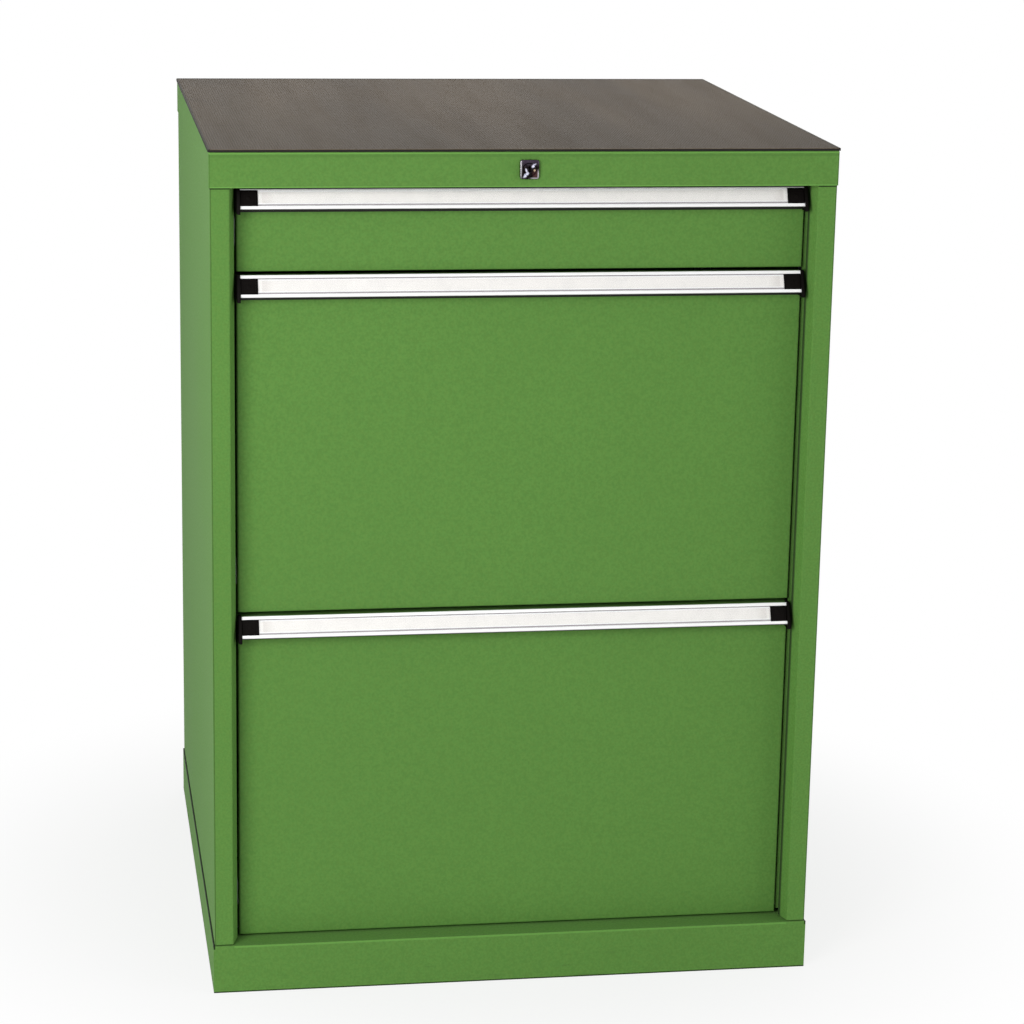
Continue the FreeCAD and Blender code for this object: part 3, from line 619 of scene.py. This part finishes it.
@dataclass(frozen=True)
class TurnedNickel:
    """Dark nickel plate with turned rings on its face, and soft bright bows and bright edges as
    painted highlights.

    Each bow has its middle, its half length and half width, its turn and its strength.
    """

    name: str
    colour: Colour
    centre: Place = LOCK_CENTRE
    bows: tuple[tuple[tuple[float, float], tuple[float, float], float, float], ...] = (
        ((-0.0038, 0.9740), (0.0046, 0.0018), 42, 1.0),
        ((-0.0036, 0.9788), (0.0029, 0.0011), -70, 0.9),
        ((0.0043, 0.9840), (0.0026, 0.0017), 45, 1.0),
        ((0.0059, 0.9857), (0.0022, 0.0010), 45, 0.5),
    )

    def material(self) -> bpy.types.Material:
        """The plating as a material."""
        graph = Graph(self.name)
        across = graph.along(Axis.X) - self.centre[0]
        up = graph.along(Axis.Z) - self.centre[2]
        radius = (across * across + up * up) ** 0.5
        waves = {"W": radius * 5200, "Scale": 1.0}
        rings = graph.node("ShaderNodeTexNoise", {"noise_dimensions": "1D"}, waves)
        turned = 1 - radius.fade(0.0068, 0.0072)
        smear = graph.noise(380, 3.0, 2.0).fade(0.38, 0.7)
        square = across.size().most(up.size())
        rim = square.fade(0.0086, 0.0092) * (1 - square.fade(0.0101, 0.0107))
        edge = rim * graph.spot((-0.011, 0.980), (0.004, 0.012), 0).most(
            graph.spot((0.008, 0.972), (0.009, 0.006), 45)
        )
        # Painted reflections: dark low on the face, mauve towards its top, and a warm brown patch
        # low on the right.
        colour = graph.blend(up.fade(0.002, 0.010) * 0.8, tint("171112"), tint("463c4b"))
        warm = graph.spot((0.007, 0.9745), (0.004, 0.006), 0)
        colour = graph.blend(warm, colour, tint("4b3232"))
        # Painted highlights along parts of the plate's rim.
        colour = graph.blend(edge * 0.6 + smear * 0.03, colour, tint("c4c2c6"))
        # Painted highlights: the soft bright bows.
        for middle, half, turn, share in self.bows:
            colour = graph.blend(graph.spot(middle, half, turn) * share, colour, self.colour)
        # Painted glint on the plug's face.
        glint = graph.spot((0.0057, 0.9791), (0.0012, 0.0015), 0)
        colour = graph.blend(glint, colour, tint("c9b59a"))
        rough = rings.spread(0.12, 0.3) + smear * 0.1
        normal = graph.relief(rings * turned + smear * 0.2, 0.00004, 0.5)
        return graph.finish(Base_Color=colour, Roughness=rough, Metallic=1.0, Normal=normal)


@dataclass(frozen=True)
class Finishes:
    """Every finish of the cabinet, by the record's slot."""

    green: Colour = tint("5c8a40")

    def by_slot(self) -> dict[str, bpy.types.Material]:
        """One material for each of the record's slots."""
        steel = tint("b6b8ba")
        made = {
            "cabinet_paint": PowderCoat("cabinet_paint", self.green, 0.68, True),
            "front_paint": PowderCoat("front_paint", self.green, 0.64),
            "tray_paint": PowderCoat("tray_paint", tint("8c8f90"), 0.48),
            "zinc_steel": ZincPlate("zinc_steel", tint("b4b8bb")),
            "rail_steel": DrawnSteel("rail_steel", steel, (700, 3, 700)),
            "strip_aluminium": AnodisedStrip("strip_aluminium", tint("fbfbfb")),
            "cap_plastic": MouldedPlastic("cap_plastic", tint("0a0706")),
            "label_paper": LabelCard("label_paper", tint("f9f6f2")),
            "clear_cover": ClearCover("clear_cover", tint("f6f6f8")),
            "mat_rubber": RibbedRubber("mat_rubber", tint("554a3c")),
            # Its colour is that of the lock's painted highlights.
            "lock_chrome": TurnedNickel("lock_chrome", tint("e6e6fa")),
            "lock_steel": DrawnSteel("lock_steel", steel, (260, 260, 260)),
            "socket_plastic": MouldedPlastic("socket_plastic", tint("232325"), 1100.0, 0.44),
        }
        return {slot: finish.material() for slot, finish in made.items()}


# Modelling steps, each of which leaves its piece at the origin with its place in its mesh.


def deselect() -> None:
    """Leave edit mode and select nothing."""
    if bpy.context.object and bpy.context.object.mode != "OBJECT":
        bpy.ops.object.mode_set(mode="OBJECT")
    bpy.ops.object.select_all(action="DESELECT")


def alone(piece: bpy.types.Object) -> None:
    """Select one piece and make it active."""
    deselect()
    piece.select_set(True)
    bpy.context.view_layer.objects.active = piece


def settled(name: str) -> bpy.types.Object:
    """Name the new primitive and apply its place and size."""
    piece = bpy.context.object
    piece.name = name
    piece.data.name = name
    alone(piece)
    bpy.ops.object.transform_apply(location=True, rotation=True, scale=True)
    return piece


def block(name: str, low: Place, high: Place) -> bpy.types.Object:
    """A block between two corners, as a start."""
    deselect()
    middle = [(a + b) / 2 for a, b in zip(low, high)]
    size = [b - a for a, b in zip(low, high)]
    bpy.ops.mesh.primitive_cube_add(size=1, location=middle, scale=size)
    return settled(name)


def bar(
    name: str, centre: Place, radius: float, length: float, axis: Axis, sides: int
) -> bpy.types.Object:
    """A round bar along an axis, as a start."""
    deselect()
    turn = {Axis.X: (0, math.pi / 2, 0), Axis.Y: (math.pi / 2, 0, 0), Axis.Z: (0, 0, 0)}[axis]
    bpy.ops.mesh.primitive_cylinder_add(
        vertices=sides, radius=radius, depth=length, location=centre, rotation=turn
    )
    return settled(name)


class Part(Enum):
    """The mesh elements that can be picked."""

    FACES = "FACE"
    EDGES = "EDGE"


@contextmanager
def picked(
    piece: bpy.types.Object, part: Part, test: Test
) -> Iterator[None]:
    """Open a piece in edit mode with some of its faces or edges selected.

    Args:
        piece: The piece to edit.
        part: Whether faces or edges are picked.
        test: Takes an element's middle and its normal, or its direction for an edge.

    Yields:
        Nothing; the piece is in edit mode until the block ends.
    """
    alone(piece)
    mesh = piece.data
    bpy.ops.object.mode_set(mode="EDIT")
    bpy.ops.mesh.select_mode(type=part.value)
    bpy.ops.mesh.select_all(action="DESELECT")
    bpy.ops.object.mode_set(mode="OBJECT")
    if part is Part.FACES:
        for face in mesh.polygons:
            face.select = test(face.center, face.normal)
    else:
        for edge in mesh.edges:
            ends = [mesh.vertices[i].co for i in edge.vertices]
            edge.select = test((ends[0] + ends[1]) / 2, (ends[1] - ends[0]).normalized())
    bpy.ops.object.mode_set(mode="EDIT")
    yield
    bpy.ops.object.mode_set(mode="OBJECT")


def bevelled(
    piece: bpy.types.Object, width: float, test: Test, segments: int = 3
) -> bpy.types.Object:
    """Round the edges that pass a test."""
    with picked(piece, Part.EDGES, test):
        bpy.ops.mesh.bevel(offset=width, segments=segments, profile=0.5, affect="EDGES")
    return piece


def inset_and_push(
    piece: bpy.types.Object, test: Test, width: float, push: Place
) -> None:
    """Inset the faces that pass a test, and move the inner face."""
    with picked(piece, Part.FACES, test):
        bpy.ops.mesh.inset(thickness=width, depth=0)
        bpy.ops.mesh.extrude_region_move(TRANSFORM_OT_translate={"value": push})


def modified(piece: bpy.types.Object, kind: str, **settings: object) -> bpy.types.Object:
    """Add a modifier with these settings and apply it."""
    alone(piece)
    modifier = piece.modifiers.new(kind.lower(), kind)
    for key, setting in settings.items():
        setattr(modifier, key, setting)
    bpy.ops.object.modifier_apply(modifier=modifier.name)
    return piece


def repeated(piece: bpy.types.Object, count: int, step: Place) -> bpy.types.Object:
    """Repeat a piece at equal steps."""
    steps = {"use_relative_offset": False, "use_constant_offset": True}
    return modified(piece, "ARRAY", count=count, **steps, constant_offset_displace=step)


def carved(piece: bpy.types.Object, tool: bpy.types.Object) -> bpy.types.Object:
    """Cut a tool's shape out of a piece, and remove the tool."""
    modified(piece, "BOOLEAN", operation="DIFFERENCE", solver="EXACT", object=tool)
    bpy.data.objects.remove(tool)
    return piece


def moved(piece: bpy.types.Object, shift: Place, lean: float = 0.0) -> bpy.types.Object:
    """Lean a piece about the X axis, then shift it, in its mesh."""
    with picked(piece, Part.FACES, lambda *_: True):
        if lean:
            bpy.ops.transform.rotate(value=lean, orient_axis="X", center_override=(0, 0, 0))
        bpy.ops.transform.translate(value=shift)
    return piece


def copied(piece: bpy.types.Object, name: str) -> bpy.types.Object:
    """A copy with a mesh of its own."""
    twin = piece.copy()
    twin.data = piece.data.copy()
    twin.name = twin.data.name = name
    bpy.context.scene.collection.objects.link(twin)
    return twin


def flipped(piece: bpy.types.Object, name: str) -> bpy.types.Object:
    """A copy mirrored left to right, with its faces pointing out again."""
    twin = copied(piece, name)
    alone(twin)
    bpy.ops.object.mode_set(mode="EDIT")
    bpy.ops.mesh.select_all(action="SELECT")
    bpy.ops.transform.resize(value=(-1, 1, 1), center_override=(0, 0, 0))
    bpy.ops.mesh.normals_make_consistent(inside=False)
    bpy.ops.object.mode_set(mode="OBJECT")
    return twin


def joined(name: str, pieces: list[bpy.types.Object]) -> bpy.types.Object:
    """Several pieces as one object."""
    deselect()
    for piece in pieces:
        piece.select_set(True)
    bpy.context.view_layer.objects.active = pieces[0]
    bpy.ops.object.join()
    pieces[0].name = pieces[0].data.name = name
    return pieces[0]


def smoothed(piece: bpy.types.Object, degrees: float = 35.0) -> bpy.types.Object:
    """Shade smooth across edges under an angle."""
    alone(piece)
    bpy.ops.object.shade_smooth_by_angle(angle=math.radians(degrees))
    return piece


@dataclass
class SubAssembly:
    """A group of pieces that rides on one body."""

    body: str
    materials: dict[str, bpy.types.Material]

    def dress(self, piece: bpy.types.Object, slot: str, *nodes: str) -> None:
        """Give a new piece its material and its body, and hide the nodes that it stands for.

        Args:
            piece: The finished piece.
            slot: The record's material slot.
            *nodes: CAD nodes that the piece replaces.
        """
        piece.data.materials.clear()
        piece.data.materials.append(self.materials[slot])
        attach(piece, self.body)
        if nodes:
            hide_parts(*nodes)
        log.info("%s: %d faces on %s", piece.name, len(piece.data.polygons), self.body)

    def build(self) -> None:
        """Build and dress the pieces."""
        raise NotImplementedError


@dataclass
class CarriedNodes(SubAssembly):
    """The solids that keep their shape and only take their finish."""

    def build(self) -> None:
        """Put each node's finish into its material slots."""
        for entry in frame["record"]["subparts"]:
            node = frame["nodes"][entry["node"]]
            for slot in node.material_slots:
                slot.material = self.materials[entry["material_slot"]]
        log.info("%d nodes took their finish", len(frame["nodes"]))


@dataclass
class TopMat(SubAssembly):
    """The rubber mat: a slab with a plain rim and fine ribs from front to back."""

    rim: float = 0.0035
    pitch: float = 0.003
    rib_half: float = 0.42
    crest: float = 0.6
    rib_height: float = 0.0004

    def build(self) -> None:
        """Build the slab and one rib, repeat the rib, and join them."""
        low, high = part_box("top_mat")
        bed = high[2] - self.rib_height
        slab = block("mat_slab", tuple(low), (high[0], high[1], bed))
        bevelled(slab, 0.002, lambda middle, way: abs(way.z) > FACING)
        inset_and_push(slab, lambda middle, normal: normal.z > FACING, self.rim, (0, 0, 0))
        with picked(slab, Part.FACES, self._is_rim(low, high)):
            rise = (0, 0, high[2] - bed)
            bpy.ops.mesh.extrude_region_move(TRANSFORM_OT_translate={"value": rise})
        bevelled(slab, 0.0005, self._is_rim_edge(high), 2)
        first = low[0] + self.rim + self.pitch / 2
        half = self.pitch * self.rib_half
        rib = block(
            "mat_rib",
            (first - half, low[1] + self.rim, bed - 0.0002),
            (first + half, high[1] - self.rim, high[2] - 0.00005),
        )
        with picked(rib, Part.FACES, lambda middle, normal: normal.z > FACING):
            bpy.ops.transform.resize(value=(self.crest, 1, 1))
        count = int((high[0] - low[0] - 2 * self.rim) / self.pitch)
        repeated(rib, count, (self.pitch, 0, 0))
        mat = smoothed(joined("ribbed_mat", [slab, rib]), 30)
        self.dress(mat, "mat_rubber", "top_mat")

    def _is_rim(self, low: Vector, high: Vector) -> Test:
        """A test for the flat faces of the rim."""

        def test(middle: Vector, normal: Vector) -> bool:
            """Whether a face is up and lies outside the ribbed field."""
            centre = (low[1] + high[1]) / 2
            outside = max(abs(middle.x) / high[0], abs(middle.y - centre) / high[1])
            return normal.z > FACING and outside > FLAT

        return test

    def _is_rim_edge(self, high: Vector) -> Test:
        """A test for the long upper edges round the rim."""

        def test(middle: Vector, way: Vector) -> bool:
            """Whether an edge is level and at the rim's top."""
            return abs(way.z) < LEVEL and abs(middle.z - high[2]) < NEAR

        return test


@dataclass
class CylinderLock(SubAssembly):
    """The square escutcheon and the plug with its key slot.

    Each cut of the key slot has its width, its height and how far it lies above the centre.
    """

    centre: Place = LOCK_CENTRE
    half: float = 0.011
    thickness: float = 0.004
    corner: float = 0.003
    edge: float = 0.0013
    sleeve_middle: float = 0.0155
    sleeve_length: float = 0.025
    sleeve_wall: float = 0.0027
    plug_radius: float = 0.007
    plug_length: float = 0.029
    plug_gap: float = 0.0003
    key_cuts: tuple[Place, ...] = (
        (0.0016, 0.0078, 0.0),
        (0.0024, 0.0024, 0.0021),
        (0.0024, 0.0014, -0.0024),
    )

    def build(self) -> None:
        """Build the escutcheon on the housing and the plug on its own body."""
        x, y, z = self.centre
        radius = self.plug_radius
        plate = block(
            "escutcheon",
            (x - self.half, y, z - self.half),
            (x + self.half, y + self.thickness, z + self.half),
        )

        def is_outer_edge(middle: Vector, way: Vector) -> bool:
            """Whether an edge runs round the plate's face."""
            return abs(middle.y - y) < NEAR and abs(way.y) < LEVEL

        bevelled(plate, self.corner, lambda middle, way: abs(way.y) > FACING, 5)
        bevelled(plate, self.edge, is_outer_edge, 4)
        carved(plate, bar("well", (x, y + 0.002, z), radius + 0.0012, 0.0082, Axis.Y, 64))
        core = (x, y + self.sleeve_middle, z)
        sleeve = bar("sleeve", core, radius + self.sleeve_wall, self.sleeve_length, Axis.Y, 64)
        carved(sleeve, bar("bore", core, radius + self.plug_gap, 0.03, Axis.Y, 64))
        body = smoothed(joined("lock_escutcheon", [plate, sleeve]))
        self.dress(body, "lock_chrome", "lock_bezel")
        self._build_plug()

    def _build_plug(self) -> None:
        """Turn the plug, dish its face and broach the key slot."""
        x, y, z = self.centre
        front = y + 0.0006
        middle_y = front + self.plug_length / 2
        plug = bar("plug", (x, middle_y, z), self.plug_radius, self.plug_length, Axis.Y, 72)

        def is_face(middle: Vector, normal: Vector) -> bool:
            """Whether it is the plug's outer face."""
            return normal.y < -FACING

        bevelled(plug, 0.0005, lambda middle, way: abs(middle.y - front) < NEAR, 3)
        inset_and_push(plug, is_face, 0.0011, (0, 0.0003, 0))
        with picked(plug, Part.FACES, is_face):
            bpy.ops.mesh.inset(thickness=0.0003, depth=0)
        for width, height, shift in self.key_cuts:
            slot = block(
                "broach",
                (x - width / 2 - shift * 0.12, front - 0.001, z + shift - height / 2),
                (x + width / 2 - shift * 0.12, front + 0.009, z + shift + height / 2),
            )
            carved(plug, slot)
        self.body = "lock_plug"
        self.dress(smoothed(plug), "lock_chrome", "lock_plug")


@dataclass
class EndCaps(SubAssembly):
    """The moulded caps at both ends of a drawer's handle strip."""

    number: int = 1
    half_length: float = 0.3239
    flange: float = 0.0046
    corner: float = 0.0024
    cut_below_top: float = 0.0272
    plug_length: float = 0.0198
    plug_height: float = 0.0184
    plug_depth: float = 0.0016
    channel_below_top: float = 0.0264
    channel_behind: float = 0.008
    lip: float = 0.0050
    sunk: float = 0.0002

    def build(self) -> None:
        """Build the left cap, mirror it and join the pair."""
        top = DRAWER_TOPS[self.number]
        end = -self.half_length
        low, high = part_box(f"drawer_{self.number}_end_caps")
        plate = block("cap_plate", (end - self.flange, low[1], low[2]), (end, high[1], high[2]))
        with picked(plate, Part.FACES, lambda *_: True):
            bpy.ops.mesh.bisect(
                plane_co=(0, low[1], top - self.cut_below_top),
                plane_no=(0, -math.cos(FACE_LEAN), math.sin(FACE_LEAN)),
                clear_outer=True,
                use_fill=True,
            )

        def is_outer_edge(middle: Vector, way: Vector) -> bool:
            """Whether an edge runs round the flange's outer side."""
            return abs(middle.x - end + self.flange) < NEAR

        bevelled(plate, self.corner, is_outer_edge, 4)
        plug = self._plug(end)
        self._lean(plug, top)
        left = joined("cap", [plate, plug])
        pair = joined(f"drawer_{self.number}_caps", [left, flipped(left, "cap_right")])
        self.dress(smoothed(pair), "cap_plastic", f"drawer_{self.number}_end_caps")

    def _plug(self, end: float) -> bpy.types.Object:
        """The plug, upright at the origin: a square rim round a dish with a round stud."""
        half = self.plug_height / 2
        far = (end + self.plug_length, self.plug_depth, half)
        plug = block("cap_plug", (end, 0.0, -half), far)
        bevelled(plug, 0.0004, lambda middle, way: abs(middle.y) < NEAR, 2)

        def is_front(middle: Vector, normal: Vector) -> bool:
            """Whether it is the plug's front face."""
            return normal.y < -FLAT

        inset_and_push(plug, is_front, 0.0014, (0, 0, 0))
        inset_and_push(plug, is_front, 0.0010, (0, 0.0007, 0))
        stud = bar("stud", (end + self.plug_length / 2, 0.0006, 0), 0.0026, 0.0010, Axis.Y, 24)
        bevelled(stud, 0.0003, lambda middle, way: middle.y < 0.0002 and abs(way.y) < LEVEL, 2)
        return joined("cap_plug", [plug, stud])

    def _lean(self, plug: bpy.types.Object, top: float) -> None:
        """Lay the plug into the strip's leaning channel."""
        along = self.lip + self.plug_height / 2
        sine, cosine = math.sin(FACE_LEAN), math.cos(FACE_LEAN)
        shift = (
            0.0,
            FRONT_PLANE + self.channel_behind + along * sine + self.sunk * cosine,
            top - self.channel_below_top + along * cosine - self.sunk * sine,
        )
        moved(plug, shift, FACE_LEAN)


@dataclass
class BallCages(SubAssembly):
    """Cages with their balls between the members of a drawer's runners."""

    number: int = 1
    ball: float = 0.0028
    spacing: float = 0.018
    per_cage: int = 12
    first_ball: float = -0.300
    cage_start: float = -0.303

    def build(self) -> None:
        """Build one cage of each size for both sides."""
        level = RUNNER_LEVELS[self.number]
        for body, name, x, rise in (
            (f"drawer_{self.number}_middle_rails", "inner", 0.3145, 0.0155),
            ("housing", "outer", 0.3190, 0.0199),
        ):
            balls = self._row(x, level + rise)
            lower = copied(balls, "row")
            moved(lower, (0, 0, -2 * rise))
            cage_end = self.cage_start + self.spacing * (self.per_cage + 0.6)
            strip = block(
                "cage",
                (x + 0.0014, self.cage_start, level - rise - 0.001),
                (x + 0.0019, cage_end, level + rise + 0.001),
            )
            inset_and_push(strip, lambda middle, normal: abs(normal.x) > FACING, 0.004, (0, 0, 0))
            right = joined("cage_right", [balls, lower, strip])
            left = flipped(right, "cage_left")
            pair = joined(f"drawer_{self.number}_{name}_cages", [right, left])
            self.body = body
            self.dress(smoothed(pair, 50), "rail_steel")

    def _row(self, x: float, z: float) -> bpy.types.Object:
        """A row of balls along the runner."""
        deselect()
        bpy.ops.mesh.primitive_uv_sphere_add(
            segments=12, ring_count=7, radius=self.ball / 2, location=(x, self.first_ball, z)
        )
        return repeated(settled("balls"), self.per_cage, (0, self.spacing, 0))


@dataclass
class Studio:
    """The pale floor, the soft lights and the camera.

    Each lamp has its name, its place, its size in metres and its power in watts.
    """

    camera_place: Place = (-0.546, -3.661, 1.436)
    camera_turn: Place = (75.66, -1.034, -8.929)
    lens: float = 104.73
    floor_tone: Colour = (0.82, 0.82, 0.82)
    floor_size: float = 40.0
    sky: float = 0.26
    aim: Place = (0.0, 0.0, 0.5)
    lamps: tuple[tuple[str, Place, float, float], ...] = (
        ("key", (-1.7, -2.35, 1.42), 1.3, 55),
        ("fill", (3.0, -1.5, 1.3), 2.4, 36),
        ("side", (-1.5, -0.2, 1.45), 0.6, 3),
        ("top", (-0.2, 0.3, 3.0), 2.0, 5),
        ("back", (0.6, 3.2, 1.5), 2.4, 22),
    )

    def build(self) -> None:
        """Set up floor, world, lights and camera."""
        self._floor()
        self._world()
        for lamp in self.lamps:
            self._light(*lamp)
        self._camera()

    def _floor(self) -> None:
        """A wide pale floor that the camera sees nearly white."""
        deselect()
        bpy.ops.mesh.primitive_plane_add(size=self.floor_size, location=(0, 0, -0.0003))
        floor = settled("studio_floor")
        graph = Graph("studio_floor")
        graph.finish(Base_Color=self.floor_tone, Roughness=0.9)
        floor.data.materials.append(graph.material)
        self._whiten(graph)

    def _whiten(self, graph: Graph) -> None:
        """Let camera, gloss and glass see the floor nearly white, but not below the cabinet."""
        tree = graph.tree
        path = tree.nodes.new("ShaderNodeLightPath")
        seen = Wire(graph, path.outputs["Is Camera Ray"])
        for key in SEEN_AS_WHITE:
            seen = seen.most(Wire(graph, path.outputs[key]))
        glow = tree.nodes.new("ShaderNodeEmission")
        glow.inputs["Color"].default_value = WHITE
        mix = tree.nodes.new("ShaderNodeMixShader")
        across, along = graph.along(Axis.X), graph.along(Axis.Y)
        away = ((across * across + along * along) ** 0.5).fade(0.38, 0.85)
        beneath = 1 - across.size().fade(0.350, 0.357).most(along.size().fade(0.350, 0.357))
        tree.links.new((seen * away.spread(0.8, 1.0) * (1 - beneath)).socket, mix.inputs[0])
        tree.links.new(graph.shader.outputs[0], mix.inputs[1])
        tree.links.new(glow.outputs[0], mix.inputs[2])
        tree.links.new(mix.outputs[0], tree.nodes["Material Output"].inputs[0])

    def _world(self) -> None:
        """Soft light all round, seen as white."""
        world = bpy.data.worlds.new("studio")
        world.use_nodes = True
        bpy.context.scene.world = world
        tree = world.node_tree
        back = tree.nodes["Background"]
        back.inputs["Color"].default_value = WHITE
        back.inputs["Strength"].default_value = self.sky
        white = tree.nodes.new("ShaderNodeBackground")
        white.inputs["Color"].default_value = WHITE
        path = tree.nodes.new("ShaderNodeLightPath")
        seen = path.outputs["Is Camera Ray"]
        for key in SEEN_AS_WHITE:
            either = tree.nodes.new("ShaderNodeMath")
            either.operation = "MAXIMUM"
            tree.links.new(seen, either.inputs[0])
            tree.links.new(path.outputs[key], either.inputs[1])
            seen = either.outputs[0]
        mix = tree.nodes.new("ShaderNodeMixShader")
        tree.links.new(seen, mix.inputs[0])
        tree.links.new(back.outputs[0], mix.inputs[1])
        tree.links.new(white.outputs[0], mix.inputs[2])
        tree.links.new(mix.outputs[0], tree.nodes["World Output"].inputs[0])

    def _light(self, name: str, place: Place, size: float, power: float) -> None:
        """A square soft light aimed at the cabinet's middle."""
        deselect()
        bpy.ops.object.light_add(type="AREA", location=place)
        lamp = bpy.context.object
        lamp.name = name
        lamp.data.shape = "SQUARE"
        lamp.data.size = size
        lamp.data.energy = power
        aim = Vector(self.aim) - Vector(place)
        lamp.rotation_euler = aim.to_track_quat("-Z", "Y").to_euler()

    def _camera(self) -> None:
        """The camera at the photograph's viewing angle."""
        deselect()
        bpy.ops.object.camera_add(
            location=self.camera_place, rotation=[math.radians(a) for a in self.camera_turn]
        )
        camera = bpy.context.object
        camera.name = "camera"
        camera.data.sensor_width = 36
        camera.data.lens = self.lens
        camera.data.clip_end = 100
        bpy.context.scene.camera = camera


def main() -> None:
    """Build every group in order and note the model's size."""
    logging.basicConfig(level=logging.INFO, format="%(name)s: %(message)s")
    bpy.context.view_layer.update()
    bpy.context.scene.view_settings.view_transform = "Standard"
    materials = Finishes().by_slot()
    groups = [kind("housing", materials) for kind in (CarriedNodes, TopMat, CylinderLock)]
    for number in DRAWER_TOPS:
        groups.append(EndCaps(f"drawer_{number}", materials, number))
        groups.append(BallCages("housing", materials, number))
    for group in groups:
        group.build()
    Studio().build()


if __name__ == "__main__":
    main()
